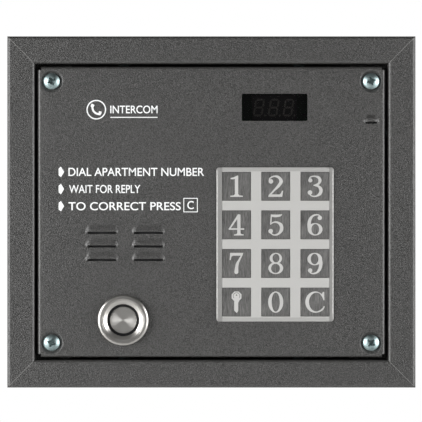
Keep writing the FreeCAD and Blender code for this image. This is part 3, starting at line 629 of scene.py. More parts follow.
def woven_cloth():
    color = (0.016, 0.016, 0.017)
    material, tree, shader = principled("acoustic_cloth", color, 0.9, Sheen_Weight=0.3)
    place = object_place(tree)
    threads = [add_node(tree, "ShaderNodeTexWave", {"bands_direction": axis}, Vector=place, Scale=700.0)
               for axis in ("X", "Z")]
    weave = calculate(tree, "MAXIMUM", *(thread.outputs["Fac"] for thread in threads))
    tint(tree, shader, color, calculate(tree, "SUBTRACT", weave, 0.5), 0.4)
    bump(tree, shader, weave, 0.5, 0.1)
    return material


READER = middle_mm("reader_housing")
PAD = middle_mm("keypad_bezel")
# How far from the keys' middle the grid's painted-shade side margins begin.
SHADED_SIDE_REACH = 27.15
END_MARGIN = 37.2
COAT = powder_coat()
# Painted highlight: a lighter coat for the mitre seams, standing for the light caught along each mitre line.
SEAM_HIGHLIGHT_COAT = plain("painted_highlight_coat", (0.13, 0.128, 0.124), 0.4, grain=1900.0, amount=0.2, height_mm=0.05)
GRID = grid_metal(middle_mm("key_2").x, SHADED_SIDE_REACH, PAD.z, END_MARGIN)
FIGURE = plain("pale_figure_metal", (0.66, 0.655, 0.64), 0.45, 0.45, grain=5000.0, amount=0.03,
               height_mm=0.004)
KEY = brushed_key()
HOUSING = turned_steel("turned_steel_flange", (0.56, 0.545, 0.52), 0.36, 0.55, READER.x, READER.z)
DISC = turned_steel("turned_steel_disc", (0.66, 0.645, 0.62), 0.42, 0.85, READER.x, READER.z)
ZINC = plain("blue_zinc_plate", (0.30, 0.38, 0.385), 0.42, 1.0, grain=2500.0, amount=0.3, height_mm=0.02,
             blotch=420.0)
DULL_ZINC = plain("dull_zinc_plate", (0.52, 0.53, 0.54), 0.38, 1.0, grain=2000.0, amount=0.12, height_mm=0.01)
INK = plain("white_ink", (0.82, 0.83, 0.83), 0.5, 0.0, grain=3500.0, amount=0.03, height_mm=0.01)
LENS = smoked_acrylic()
BLACK = plain("black_moulding", (0.012, 0.012, 0.013), 0.4)
MODULE = plain("display_face", (0.020, 0.019, 0.019), 0.55)
SEGMENTS = plain("unlit_segment", (0.14, 0.125, 0.115), 0.5)
RUBBER = plain("black_rubber", (0.014, 0.014, 0.0145), 0.7, grain=2200.0, height_mm=0.03)
SILICONE = plain("grey_silicone", (0.36, 0.37, 0.38), 0.55, grain=2500.0, Subsurface_Weight=0.1)
BOARD = circuit_board()
FERRITE = plain("ground_ferrite", (0.045, 0.045, 0.047), 0.5, 0.3, grain=1800.0, amount=0.15)
PAPER = plain("pressed_black_paper", (0.030, 0.028, 0.026), 0.85, grain=1200.0, amount=0.2, height_mm=0.05)
CLOTH = woven_cloth()
SLEEVE = plain("capacitor_sleeve", (0.012, 0.017, 0.06), 0.25)
NYLON = plain("cream_nylon", (0.66, 0.61, 0.50), 0.45, Subsurface_Weight=0.08)
BLUE = plain("blue_moulding", (0.025, 0.10, 0.36), 0.4)
JACKET = plain("grey_wire_jacket", (0.26, 0.26, 0.27), 0.5)
SOLDER = plain("bright_solder", (0.70, 0.70, 0.69), 0.22, 1.0)


# ---- front panel ----
SHEET = 1.3
BEND = 1.7
panel_high = box_mm("front_panel")[1]
pad_low, pad_high = box_mm("keypad_bezel")
PANEL_FRONT = box_mm("reader_seal")[1].y
PANEL_END = panel_high.y
FLAT_X = panel_high.x - BEND
FLAT_Z = panel_high.z - BEND
SCREW_NODES = ("screw_lower_left", "screw_upper_left", "screw_lower_right", "screw_upper_right")
SCREWS = [middle_mm(name) for name in SCREW_NODES]
WINDOW = middle_mm("display_window")
SPEAKER = middle_mm("speaker_screen")
MIC = middle_mm("mic_boot")
WINDOW_SIZE = (33.4, 13.9)
PAD_SIZE = (59.6, 78.6)
LOUVRE_APART = 11.85
LOUVRE_PITCH = 6.9
LOUVRES = [(x, SPEAKER.z + 5.5 - i * LOUVRE_PITCH)
           for x in (SPEAKER.x - LOUVRE_APART, SPEAKER.x + LOUVRE_APART) for i in range(3)]
LOUVRE_HALF = 8.9
LOUVRE_RISE = 4.3
LOUVRE_TAPER = 1.6
LOUVRE_END = 2.6
LOUVRE_GAP = 1.2
PROUD = 1.55
MIC_SLOT = MIC.z - 1.4
MIC_HALF = 4.3
MIC_GAP = 0.9
DIMPLE = 5.9
DIMPLE_DEPTH = 1.2
DIMPLE_RINGS = (3.2, 4.2, 4.6, 4.9, 5.2, 5.5, 5.8, 6.1, 6.4, 6.8)
SCREW_HOLE = 2.25
READER_HOLE = 9.6


def louvre_height(x, z):
    """How far the pressed hoods stand out of the sheet at a point."""
    for centre, slot in LOUVRES:
        dx = abs(x - centre)
        rise = (z - slot) / LOUVRE_RISE
        if dx < LOUVRE_HALF and 0 <= rise < 1:
            reach = LOUVRE_HALF - LOUVRE_TAPER * rise
            end = 1 - smoothstep(reach - LOUVRE_END, reach, dx)
            slope = 1 - rise
            return PROUD * end * (0.35 * slope + 0.65 * smoothstep(0, 1, slope))
    dz = z - MIC_SLOT
    if dz >= 0:
        reach = math.hypot(x - MIC.x, dz * 1.15)
        return PROUD * (1 - smoothstep(MIC_HALF * 0.4, MIC_HALF + 0.2, reach))
    return 0.0


def panel_front_at(x, z):
    """Depth of the sheet's front: hoods stand out, dimples go in."""
    y = PANEL_FRONT - louvre_height(x, z)
    for screw in SCREWS:
        reach = math.hypot(x - screw.x, z - screw.z)
        if reach < DIMPLE + 0.8:
            y += DIMPLE_DEPTH * (1 - smoothstep(DIMPLE - 1.6, DIMPLE + 0.1, reach))
    return y


def grid_points(x0, x1, z0, z1, step_x, step_z):
    across = max(1, round((x1 - x0) / step_x))
    up = max(1, round((z1 - z0) / step_z))
    return [(x0 + (x1 - x0) * i / across, z0 + (z1 - z0) * k / up)
            for i in range(across + 1) for k in range(up + 1)]


def slot_outline(x, slot, half, gap):
    """The narrow opening under a hood, with close points along its upper lip."""
    steps = round(half * 2 / 0.4)
    upper = [(x + half - 2 * half * i / steps, slot) for i in range(steps + 1)]
    lower = [(x - half + 2 * half * i / steps, slot - gap) for i in range(steps + 1)]
    return upper + lower


def panel_blank():
    """The flat sheet with its openings, triangulated finely round each hood and dimple."""
    corners = [(-FLAT_X, -FLAT_Z), (FLAT_X, -FLAT_Z), (FLAT_X, FLAT_Z), (-FLAT_X, FLAT_Z)]
    border = []
    for a, b, steps in zip(corners, corners[1:] + corners[:1], (60, 50, 60, 50)):
        border += between(a, b, steps)
    holes = [rounded_rectangle(WINDOW.x, WINDOW.z, *WINDOW_SIZE, 0.8),
             rounded_rectangle(PAD.x, PAD.z, PAD_SIZE[0] + 0.2, PAD_SIZE[1] + 0.2, 1.5),
             circle(READER.x, READER.z, READER_HOLE, 64),
             *(circle(screw.x, screw.z, SCREW_HOLE, 32) for screw in SCREWS),
             *(slot_outline(x, slot, LOUVRE_HALF - 1.5, LOUVRE_GAP) for x, slot in LOUVRES),
             slot_outline(MIC.x, MIC_SLOT, MIC_HALF - 1.3, MIC_GAP)]
    points = []
    for x, slot in LOUVRES:
        left, right = x - LOUVRE_HALF - 0.4, x + LOUVRE_HALF + 0.4
        points += grid_points(left, right, slot + 0.3, slot + LOUVRE_RISE + 0.3, 0.4, 0.3)
        points += grid_points(left, right, slot - 1.4, slot - 1.4, 0.8, 1)
    points += grid_points(MIC.x - 4.9, MIC.x + 4.9, MIC_SLOT + 0.25, MIC_SLOT + 4.4, 0.25, 0.25)
    for screw in SCREWS:
        for radius in DIMPLE_RINGS:
            points += [p for p in circle(screw.x, screw.z, radius,
                                         56) if abs(p[0]) < FLAT_X and abs(p[1]) < FLAT_Z]
    points += grid_points(-FLAT_X + 6, FLAT_X - 6, -FLAT_Z + 6, FLAT_Z - 6, 8, 8)
    return fill([([border], holes)], points)


def folded_edges(flat, triangles):
    """Adds the four bent-back edges to the blank; the corners stay open as relief notches."""
    verts = [(x, panel_front_at(x, z), z) for x, z in flat]
    faces = list(triangles)
    angles = [k / 8 * math.pi / 2 for k in range(1, 9)]
    bend = [(BEND * math.sin(angle), PANEL_FRONT + BEND * (1 - math.cos(angle))) for angle in angles]
    bend.append((BEND, PANEL_END))
    for axis, sign, reach in ((0, 1, FLAT_X), (0, -1, FLAT_X), (1, 1, FLAT_Z), (1, -1, FLAT_Z)):
        line = [i for i, p in enumerate(flat) if abs(p[axis] - sign * reach) < 1e-4]
        line.sort(key=lambda i: flat[i][1 - axis] * sign * (1 if axis == 0 else -1))
        previous = line
        for out, y in bend:
            row = list(range(len(verts), len(verts) + len(line)))
            edge = sign * (reach + out)
            verts += [(edge, y, flat[i][1]) if axis == 0 else (flat[i][0], y, edge) for i in line]
            faces += zip(previous, row, row[1:], previous[1:])
            previous = row
    return verts, faces


def make_panel():
    mesh = mesh_from("panel_skin", *folded_edges(*panel_blank()), 40)

    def thicken(carrier):
        solid = carrier.modifiers.new("thickness", "SOLIDIFY")
        solid.thickness = SHEET * MM
        solid.offset = -1
        solid.use_even_offset = False

    mesh = smooth_but_sharp(with_modifiers("panel_sheet", mesh, thicken), 40)
    return new_piece("panel_sheet", mesh, COAT, PANEL, ["front_panel"])


# ---- keypad ----
GRID_FRONT = pad_low.y
GRID_BACK = GRID_FRONT + 2.4
KEY_SIZE = 14.5
KEY_HOLE = 14.75
KEY_SHOULDER = PANEL_FRONT + 1.65
KEY_NODES = ["key_" + name for name in (*"123456789", "unlock", "0", "c")]
KEY_CENTRES = [middle_mm(node) for node in KEY_NODES]
SIDE_ROLL = 3.4
SIDE_DROP = 0.25


def grid_front_at(x, z):
    """The grid plate's front: flat, rolled back along its left and right sides, with a small rounded rim."""
    half_x = PAD_SIZE[0] / 2
    half_z = PAD_SIZE[1] / 2
    from_side = half_x - abs(x - PAD.x)
    from_end = half_z - abs(z - PAD.z)
    roll = max(0.0, 1 - from_side / SIDE_ROLL)
    y = GRID_FRONT + SIDE_DROP * roll ** 1.6
    rim = min(from_side, from_end)
    if rim < 0.35:
        y += 0.3 * (1 - rim / 0.35) ** 2
    return y


def make_grid():
    outline = rounded_rectangle(PAD.x, PAD.z, *PAD_SIZE, 1.5, 8, 2.0)
    windows = [rounded_rectangle(centre.x, centre.z, KEY_HOLE, KEY_HOLE, 0.2, 2,
                                 1.5) for centre in KEY_CENTRES]
    points = []
    for inset in (0.12, 0.24, 0.36):
        points += rounded_rectangle(PAD.x, PAD.z, PAD_SIZE[0] - 2 * inset, PAD_SIZE[1] - 2 * inset,
                                    1.5 - inset, 8, 2.0)
    for side in (-1, 1):
        for inset in (0.7, 1.1, 1.5, 1.9, 2.3, 2.7, 3.1, 3.4):
            x = PAD.x + side * (PAD_SIZE[0] / 2 - inset)
            points += [(x, PAD.z - PAD_SIZE[1] / 2 + 0.5 + (PAD_SIZE[1] - 1) * i / 60) for i in range(61)]
    shape = slab_shape([([outline], windows)], grid_front_at, GRID_BACK, points)
    flange_size = (pad_high.x - pad_low.x, pad_high.z - pad_low.z)
    flange = rounded_rectangle(PAD.x, PAD.z, *flange_size, 3)
    pocket = rounded_rectangle(PAD.x, PAD.z, 58, 77, 2)
    rim = slab_shape([([flange], [pocket])], PANEL_FRONT + 2.0, pad_high.y)
    mesh = mesh_from("keypad_grid", *joined(shape, rim), sharp=50)
    return new_piece("keypad_grid", mesh, GRID, PANEL, ["keypad_bezel"])


def raised_block(x, z, width, height, radius, front, back, edge=0.12):
    """A flat-topped block with rounded corners and a small bevel round its front."""
    outer = rounded_rectangle(x, z, width, height, radius, 4)
    inner = rounded_rectangle(x, z, width - 2 * edge, height - 2 * edge, max(radius - edge, 0.02), 4)
    count = len(outer)
    verts = [(px, back, pz) for px, pz in outer] + [(px, front + edge, pz) for px, pz in outer]
    verts += [(px, front, pz) for px, pz in inner]
    faces = [tuple(range(2 * count, 3 * count)), tuple(reversed(range(count)))]
    for level in (0, 1):
        low = level * count
        for i in range(count):
            j = (i + 1) % count
            faces.append((low + i, low + j, low + count + j, low + count + i))
    return verts, faces


def ribbon(spine, widths, steps=14):
    """The outline of a stroke whose width changes along a smooth spine."""
    points = []
    sizes = []
    count = len(spine)
    for i in range(count - 1):
        p0 = Vector(spine[max(i - 1, 0)])
        p1 = Vector(spine[i])
        p2 = Vector(spine[i + 1])
        p3 = Vector(spine[min(i + 2, count - 1)])
        for k in range(steps if i < count - 2 else steps + 1):
            t = k / steps
            points.append(0.5 * (2 * p1 + (p2 - p0) * t + (2 * p0 - 5 * p1 + 4 * p2 - p3) * t ** 2
                                 + (3 * p1 - p0 - 3 * p2 + p3) * t ** 3))
            sizes.append(widths[i] + (widths[i + 1] - widths[i]) * smoothstep(0, 1, t))
    left = []
    right = []
    for i, point in enumerate(points):
        along = points[min(i + 1, len(points) - 1)] - points[max(i - 1, 0)]
        across = Vector((-along.y, along.x)).normalized() * sizes[i] / 2
        left.append(tuple(point + across))
        right.append(tuple(point - across))
    return left + right[::-1]


def solid(*outlines):
    return [([outline], []) for outline in outlines]


def placed(parts, x, z, turn=1):
    """Flat parts moved to (x, z); a turn of -1 also turns them half round."""
    return [tuple([[(x + turn * px, z + turn * pz) for px, pz in loop] for loop in loops] for loops in part)
            for part in parts]


def figure_parts(name):
    """Flat parts of each key's figure in millimetres about the key's centre: thick and thin strokes, round
    terminals and bracketed serifs, 10.8 mm high."""
    if name == "1":
        stem = [(-0.85, -5.0), (0.85, -5.0), (0.85, 5.4), (0.3, 5.4), (-0.85, 4.7)]
        flag = [(-3.0, 4.25), (-1.6, 4.5), (0.3, 5.4), (-0.85, 3.75), (-1.7, 3.55), (-3.0, 3.6)]
        foot = [(-3.2, -5.4), (3.2, -5.4), (3.2, -4.85), (1.5, -4.65), (0.85, -4.0), (-0.85, -4.0),
                (-1.5, -4.65), (-3.2, -4.85)]
        return solid(stem, flag, foot)
    if name == "2":
        sweep = ribbon([(-3.3, 2.6), (-2.9, 4.1), (-0.9, 5.05), (1.4, 4.6), (2.7, 2.6), (1.6, 0.4),
                        (-0.9, -2.2), (-3.4, -4.8)],
                       [0.6, 0.6, 0.75, 1.3, 1.8, 1.5, 0.9, 0.7])
        base = [(-3.8, -5.4), (3.3, -5.4), (3.8, -2.3), (3.15, -2.3), (2.6, -3.7), (1.9, -4.15),
                (-2.3, -4.15), (-3.6, -4.6)]
        return solid(sweep, circle(-2.45, 2.45, 1.15), base)
    if name == "3":
        upper = ribbon([(-3.0, 3.4), (-2.2, 4.7), (-0.2, 5.1), (1.9, 4.4), (2.55, 2.9), (1.7, 1.2),
                        (-0.7, 0.45)],
                       [0.5, 0.6, 0.7, 1.3, 1.6, 1.1, 0.5])
        lower = ribbon([(-0.7, 0.45), (1.6, 0.05), (3.0, -1.6), (2.6, -3.7), (0.6, -5.05), (-1.7, -4.9),
                        (-3.2, -3.4)],
                       [0.5, 1.1, 1.75, 1.6, 0.75, 0.6, 0.5])
        return solid(upper, lower, circle(-2.35, 3.0, 1.05), circle(-2.55, -3.2, 1.15))
    if name == "4":
        slant = [(-4.0, -2.0), (-3.3, -2.3), (1.3, 4.3), (1.3, 5.4), (0.7, 5.4)]
        stem = [(0.35, -5.0), (2.0, -5.0), (2.0, 5.2), (1.3, 5.4), (0.35, 4.1)]
        bar = [(-4.0, -2.5), (3.9, -2.5), (3.9, -1.75), (-4.0, -1.75)]
        foot = [(-1.3, -5.4), (3.6, -5.4), (3.6, -4.9), (2.5, -4.7), (2.0, -4.2), (0.35, -4.2), (-0.1, -4.7),
                (-1.3, -4.9)]
        return solid(slant, stem, bar, foot)
    if name == "5":
        flag = ribbon([(-2.5, 4.75), (-0.4, 4.55), (1.8, 4.7), (3.2, 5.3)], [1.1, 1.35, 1.2, 0.3])
        stem = [(-2.9, 0.2), (-2.25, 0.2), (-1.9, 5.3), (-2.5, 5.3)]
        bowl = ribbon([(-2.8, 0.2), (-1.2, 1.25), (0.9, 1.25), (2.7, -0.2), (2.85, -2.6), (1.2, -4.7),
                       (-1.1, -5.1), (-3.2, -3.7)],
                      [0.5, 0.65, 1.0, 1.7, 1.75, 1.0, 0.6, 0.5])
        return solid(flag, stem, bowl, circle(-2.6, -3.2, 1.15))
    if name in ("6", "9"):
        ring = ([ellipse(0.1, -2.25, 3.75, 3.15)], [ellipse(0.2, -2.25, 1.95, 2.65)])
        spine = ribbon([(3.1, 3.9), (1.6, 5.1), (-0.8, 4.7), (-2.4, 2.9), (-3.0, 0.2), (-2.75, -2.3)],
                       [0.5, 0.6, 0.95, 1.5, 1.75, 1.7])
        parts = [ring] + solid(spine, circle(2.45, 3.55, 1.1))
        if name == "6":
            return parts
        return placed(parts, 0, 0, -1)
    if name == "7":
        bar = [(-3.55, 1.7), (-3.05, 1.7), (-2.6, 3.4), (-1.8, 3.95), (2.4, 3.95), (3.6, 5.4), (-3.3, 5.4)]
        leg = ribbon([(3.1, 4.9), (1.6, 2.2), (0.3, -0.6), (-0.1, -4.3)], [0.6, 0.9, 1.5, 2.0])
        return solid(bar, leg, circle(-0.1, -4.4, 1.0))
    if name == "8":
        upper = ([ellipse(0.05, 2.6, 3.15, 2.8)], [ellipse(0.15, 2.7, 1.75, 2.2)])
        lower = ([ellipse(0.0, -2.4, 3.8, 3.0)], [ellipse(-0.1, -2.5, 2.25, 2.35)])
        return [upper, lower]
    if name == "0":
        return [([ellipse(0, 0, 3.85, 5.4)], [ellipse(0, 0, 2.05, 4.85)])]
    if name == "c":
        mouth = [(1.6, -3.3), (6, -3.0), (6, 3.9), (3.3, 3.9), (2.6, 1.2)]
        bow = ([ellipse(0.1, 0, 5.0, 5.4, 72)], [ellipse(0.75, 0, 3.75, 4.8, 72), mouth])
        serif = [(4.05, 5.2), (4.7, 5.2), (4.85, 0.9), (4.3, 0.9), (3.7, 2.6), (2.4, 4.4), (3.5, 4.1)]
        tail = ribbon([(1.2, -5.05), (2.9, -4.4), (4.1, -3.4), (4.75, -2.1)], [0.6, 0.75, 0.75, 0.55])
        return [bow] + solid(serif, tail)
    hole = [(-0.5, 3.25), (0.5, 3.25), (0.0, 4.1)]
    bow = ([circle(0, 2.9, 2.7, 8, math.pi / 8)], [circle(0, 3.1, 1.8, 24)])
    boss = ([circle(0, 3.1, 1.55, 24)], [hole])
    shank = [(-1.3, 2.2), (1.3, 2.2), (1.25, 0.4), (0.85, -0.4), (0.85, -4.6), (0.1, -5.6), (-1.2, -4.3),
             (-1.2, 0.2)]
    return [bow, boss] + solid(shank)


FIGURE_PROUD = 0.03
FIGURE_SUNK = 0.05


def ease_edges(carrier):
    """A small bevel round a key's edges."""
    add_bevel(carrier, "ANGLE", 0.12, 2, 40).harden_normals = True


def make_keys():
    for node, centre in zip(KEY_NODES, KEY_CENTRES):
        low, high = box_mm(node)
        blocks = (("_cap", KEY_SHOULDER, KEY_SIZE, 0.3, KEY_SHOULDER - low.y, [node]),
                  ("_flange", high.y, high.x - low.x, 0.8, high.y - KEY_SHOULDER - 0.02, []))
        for part, foot, side, corner, thickness, replaced in blocks:
            start = start_points(node, [(centre.x, foot, centre.z)], (0, -1, 0))
            mesh = grown(node + part, KEY_CAP, start, KEY, ease_edges, Side=side, Corner=corner,
                         Thickness=thickness)
            new_piece(node + part, mesh, KEY, node, replaced)
        parts = placed(figure_parts(node.removeprefix("key_")), centre.x, centre.z)
        shape = slab_shape(parts, low.y - FIGURE_PROUD, low.y + FIGURE_SUNK)
        new_piece(node + "_figure", mesh_from(node + "_figure", *shape, sharp=30), FIGURE, node)


# ---- printing ----
INK_FRONT = PANEL_FRONT - 0.02
INK_BACK = PANEL_FRONT + 0.03


def lettering(name, words, left, right, low, high, weight=0.0):
    """Words in plain capitals, stretched to fill a width and a height."""
    curve = bpy.data.curves.new(name, "FONT")
    curve.body = words
    curve.size = 0.005
    curve.offset = weight * MM
    curve.extrude = 0.5 * (INK_BACK - INK_FRONT) * MM
    carrier = bpy.data.objects.new(name, curve)
    bpy.context.scene.collection.objects.link(carrier)
    mesh = bpy.data.meshes.new_from_object(carrier.evaluated_get(bpy.context.evaluated_depsgraph_get()))
    bpy.data.objects.remove(carrier)
    xs = [v.co.x for v in mesh.vertices]
    ys = [v.co.y for v in mesh.vertices]
    across = (right - left) * MM / (max(xs) - min(xs))
    up = (high - low) * MM / (max(ys) - min(ys))
    for v in mesh.vertices:
        x, y, z = v.co
        v.co = (left * MM + (x - min(xs)) * across, (INK_FRONT + INK_BACK) / 2 * MM - z,
                low * MM + (y - min(ys)) * up)
    return mesh


def flat_print(name, parts):
    new_piece(name, mesh_from(name, *slab_shape(parts, INK_FRONT, INK_BACK)), INK, PANEL)


def print_words(name, words, left, right, low, high, weight=0.0):
    new_piece(name, lettering(name, words, left, right, low, high, weight), INK, PANEL)


INSTRUCTIONS = (
    ("first_line", "DIAL APARTMENT NUMBER", -72.8, -3.7, 20.4),
    ("second_line", "WAIT FOR REPLY", -72.5, -36.2, 11.7),
    ("third_line", "TO CORRECT PRESS", -72.8, -15.6, 2.95),
)
CAP_HEIGHT = 4.2


def make_printing():
    for name, words, left, right, middle in INSTRUCTIONS:
        low = middle - CAP_HEIGHT / 2
        print_words("print_" + name, words, left, right, low, low + CAP_HEIGHT, 0.04)
        bullet = [(-77.8, -1.7), (-76.6, -2.7), (-75.0, 0), (-76.6, 2.7), (-77.8, 1.7)]
        flat_print("print_" + name + "_bullet", placed(solid(bullet), 0, middle))
    box_x, box_z, box_side = -10.6, 3.5, 7.3
    flat_print("print_clear_box", [([rounded_rectangle(box_x, box_z, box_side, box_side, 0.2, 2)],
                                    [rounded_rectangle(box_x, box_z, box_side - 0.8, box_side - 0.8, 0.1,
                                                       2)])])
    print_words("print_clear_letter", "C", box_x - 1.65, box_x + 1.65, box_z - 2.1, box_z + 2.1, 0.04)
    make_emblem()


def make_emblem():
    """A plain handset pictogram with a plain word beside it."""
    x, z = -58.6, 52.1
    ring = ([circle(x, z, 5.0, 64)], [circle(x, z, 4.4, 64)])
    handle = ribbon([(x - 2.2, z + 2.0), (x - 1.5, z - 0.6), (x + 0.2, z - 2.0), (x + 2.2, z - 2.4)],
                    [1.0] * 4)
    ear = ribbon([(x - 2.7, z + 2.4), (x - 1.2, z + 1.7)], [1.5, 1.5])
    mouth = ribbon([(x + 1.2, z - 1.4), (x + 2.6, z - 1.7)], [1.4, 1.4])
    flat_print("print_handset", [ring] + solid(handle, ear, mouth))
    print_words("print_word", "INTERCOM", -51.5, -27.4, 50.2, 54.2, 0.05)
    flat_print("print_rule", solid(rounded_rectangle(-39.45, 48.2, 24.1, 0.45, 0.1, 2)))


# ---- frame, box and the rest ----
FRAME_FACE = 14.0
SEAM_HALF = 0.22
SEAM_PROUD = 0.05
ROLL_RADIUS = 0.7


def make_seams():
    """Filled weld seams along the frame's four mitres, a little proud of the coat; their lighter coat is a
    painted highlight along each mitre line.
    """
    low, high = box_mm("frame_top_rail")
    corner = Vector((high.x, high.z))
    face = FRAME_FACE * math.sqrt(2) - 2.2
    verts = []
    faces = []
    for sx in (-1, 1):
        for sz in (-1, 1):
            out = Vector((sx, sz)).normalized()
            across = Vector((-out.y, out.x)) * SEAM_HALF
            outer = Vector((sx * corner.x, sz * corner.y)) - out * 1.1
            inner = outer - out * face
            start = len(verts)
            for end in (inner, outer):
                ridge = ((-1, 0.02), (-0.5, -SEAM_PROUD), (0.5, -SEAM_PROUD), (1, 0.02))
                verts += [(end.x + across.x * k, low.y + y, end.y + across.y * k) for k, y in ridge]
            faces += [(start + k, start + (k + 1) % 4, start + 4 + (k + 1) % 4,
                       start + 4 + k) for k in range(4)]
            faces += [(start + 3, start + 2, start + 1, start), (start + 4, start + 5, start + 6, start + 7)]
    shape = outward((verts, faces))
    new_piece("mitre_seams", mesh_from("mitre_seams", *shape, sharp=60), SEAM_HIGHLIGHT_COAT, FRAME)


def roll_outer_edge(carrier, node):
    """Rolls over a rail's outer front edge and leaves its mitred ends sharp."""
    low, high = box_mm(node)
    tall = high.z - low.z > high.x - low.x
    far = max(abs(low.x), abs(high.x)) if tall else max(abs(low.z), abs(high.z))
    weights = carrier.data.attributes.new("bevel_weight_edge", "FLOAT", "EDGE")
    for edge in carrier.data.edges:
        ends = [carrier.data.vertices[i].co / MM for i in edge.vertices]
        outer = all(abs(abs(end.x if tall else end.z) - far) < 0.05 and end.y < low.y + 0.05 for end in ends)
        weights.data[edge.index].value = 1.0 if outer else 0.0
    add_bevel(carrier, "WEIGHT", ROLL_RADIUS, 4).harden_normals = True


def make_frame():
    for side in ("top", "bottom", "left", "right"):
        softened("frame_" + side + "_rail", COAT, roll=roll_outer_edge)
    softened("back_box", COAT, 0.35, 3)
    softened("corner_brackets", COAT, 0.15)
    softened("threaded_pillars", ZINC, 0.15)
    softened("cable_grommet", RUBBER, 0.35, 3)


def make_window():
    """The smoked lens: its raised face fills the opening and its flange lies behind the sheet."""
    low, high = box_mm("display_window")
    width = WINDOW_SIZE[0] - 0.2
    height = WINDOW_SIZE[1] - 0.2
    lens = raised_block(WINDOW.x, WINDOW.z, width, height, 0.7, low.y, high.y, 0.15)
    rim = rounded_rectangle(WINDOW.x, WINDOW.z, high.x - low.x, high.z - low.z, 1.5)
    inner = rounded_rectangle(WINDOW.x, WINDOW.z, width + 0.04, height + 0.04, 0.7)
    flange = slab_shape([([rim], [inner])], PANEL_FRONT + 1.5, high.y)
    mesh = mesh_from("display_lens", *joined(lens, flange), sharp=15)
    new_piece("display_lens", mesh, LENS, PANEL, ["display_window"])


def turned_piece(name, profile, material, body, node):
    mesh = mesh_from(name, *outward(lathe(READER.x, READER.z, profile)), sharp=28)
    new_piece(name, mesh, material, body, [node])


def make_reader():
    """The turned housing and the sprung centre disc; each front is (radius, depth behind the face)."""
    low, high = box_mm("reader_housing")
    flange = high.x - READER.x
    seat = PANEL_FRONT - 0.4
    front = [(flange, 1.1), (flange - 0.08, 0.75), (flange - 0.3, 0.42), (flange - 0.65, 0.16),
             (flange - 1.1, 0.02), (10.75, 0), (10.6, 0.06), (10.5, 0.25), (10.2, 0.3), (9.95, 0.36), (9.75,
                                                                                                       0.5),
             (9.0, 0.92), (8.4, 1.32), (8.24, 1.46), (8.2, 1.7), (8.2, 3.4), (8.6, 3.4)]
    housing = [(9.5, high.y), (9.5, seat), (flange, seat), *((r, low.y + y) for r, y in front), (8.6, high.y)]
    turned_piece("reader_ring", housing, HOUSING, PANEL, "reader_housing")
    low, high = box_mm("reader_contact")
    shoulder = high.y - 0.65
    front = [(0, 0.06), (3.4, 0.04), (6.2, 0), (6.5, 0.03), (6.72, 0.14), (6.8, 0.32), (6.8, 1.8), (5.0, 1.8),
             (5.0, 0.5), (4.0, 0.5), (4.0, 1.8), (1.9, 1.8)]
    disc = [*((r, low.y + y) for r, y in front), (1.9, shoulder), (2.8, shoulder), (2.8, high.y), (0, high.y)]
    turned_piece("reader_disc", disc, DISC, "reader_contact", "reader_contact")


def make_mat():
    """The silicone mat: its sheet, and domes that leave room for the keys' travel."""
    low, high = box_mm("keypad_mat")
    sheet_front = low.y + 0.95
    middle = (low + high) / 2
    sheet = raised_block(middle.x, middle.z, high.x - low.x, high.z - low.z, 1.8, sheet_front, high.y)
    mesh = mesh_from("keypad_mat_sheet", *sheet)
    new_piece("keypad_mat_sheet", mesh, SILICONE, PANEL, ["keypad_mat"])
    places = [(centre.x, sheet_front + 0.05, centre.z) for centre in KEY_CENTRES]
    domes = grown("keypad_mat_domes", RUBBER_DOME, start_points("dome_places", places, (0, -1, 0)), SILICONE,
                  Top=3.0, Base=4.6, Height=0.38, Sides=32)
    new_piece("keypad_mat_domes", domes, SILICONE, PANEL)


def make_insides():
    finishes = (
        ("display_module", MODULE, "black_plastic", 0.15),
        ("display_digits", SEGMENTS, "digit_insert", 0.02),
        ("keypad_seal", RUBBER, "black_rubber", 0.05),
        ("keypad_board", BOARD, "circuit_board", 0.06),
        ("weld_studs", DULL_ZINC, "zinc_plate", 0.15),
        ("stud_nuts", ZINC, "zinc_plate", 0.15),
        ("speaker_basket", DULL_ZINC, "zinc_plate", 0.12),
        ("speaker_magnet", FERRITE, "ferrite", 0.2),
        ("speaker_surround", RUBBER, "black_rubber", 0.05),
        ("speaker_cone", PAPER, "paper_cone", 0.05),
        ("speaker_clamps", ZINC, "zinc_plate", 0.15),
        ("speaker_screen", CLOTH, "screen_cloth", 0.05),
        ("mic_boot", RUBBER, "black_rubber", 0.12),
        ("mic_capsule", DULL_ZINC, "stainless", 0.15),
        ("reader_insulator", BLACK, "black_plastic", 0.1),
        ("reader_seal", RUBBER, "black_rubber", 0.05),
        ("reader_nut", ZINC, "zinc_plate", 0.25),
        ("reader_spring", DULL_ZINC, "stainless", 0.02),
        ("main_board", BOARD, "circuit_board", 0.06),
        ("board_spacers", NYLON, "cream_plastic", 0.1),
        ("microcontroller", BLACK, "black_plastic", 0.04),
        ("capacitors", SLEEVE, "capacitor_sleeve", 0.3),
        ("board_connectors", NYLON, "cream_plastic", 0.1),
        ("trimmer_bodies", BLUE, "trimmer_blue", 0.12),
        ("trimmer_rotor_speaker", NYLON, "cream_plastic", 0.08),
        ("trimmer_rotor_mic", NYLON, "cream_plastic", 0.08),
    )
    for node, material, slot, width in finishes:
        softened(node, material, width)


THREAD_START = 8.4
THREAD_LENGTH = 7.7
RIVET_LENGTH = 3.9
RIVET_GRIP = 2.7
RIVET_DEPTH = -32
PLUG_DEPTH = 3
PLUG_ROW = 35.6
MIC_PLUG = (61, 50)


def make_screws():
    """Each machine screw, with its thread wound round the shank."""
    for name, place in zip(SCREW_NODES, SCREWS):
        softened(name, ZINC, 0.06)
        start = start_points(name, [(place.x, box_mm(name)[1].y - THREAD_START, place.z)])
        thread = grown(name + "_thread", THREAD, start, ZINC, Radius=1.87, Length=THREAD_LENGTH,
                       Turns=11.0 / MM,
                       Depth=0.18)
        new_piece(name + "_thread", thread, ZINC, name)


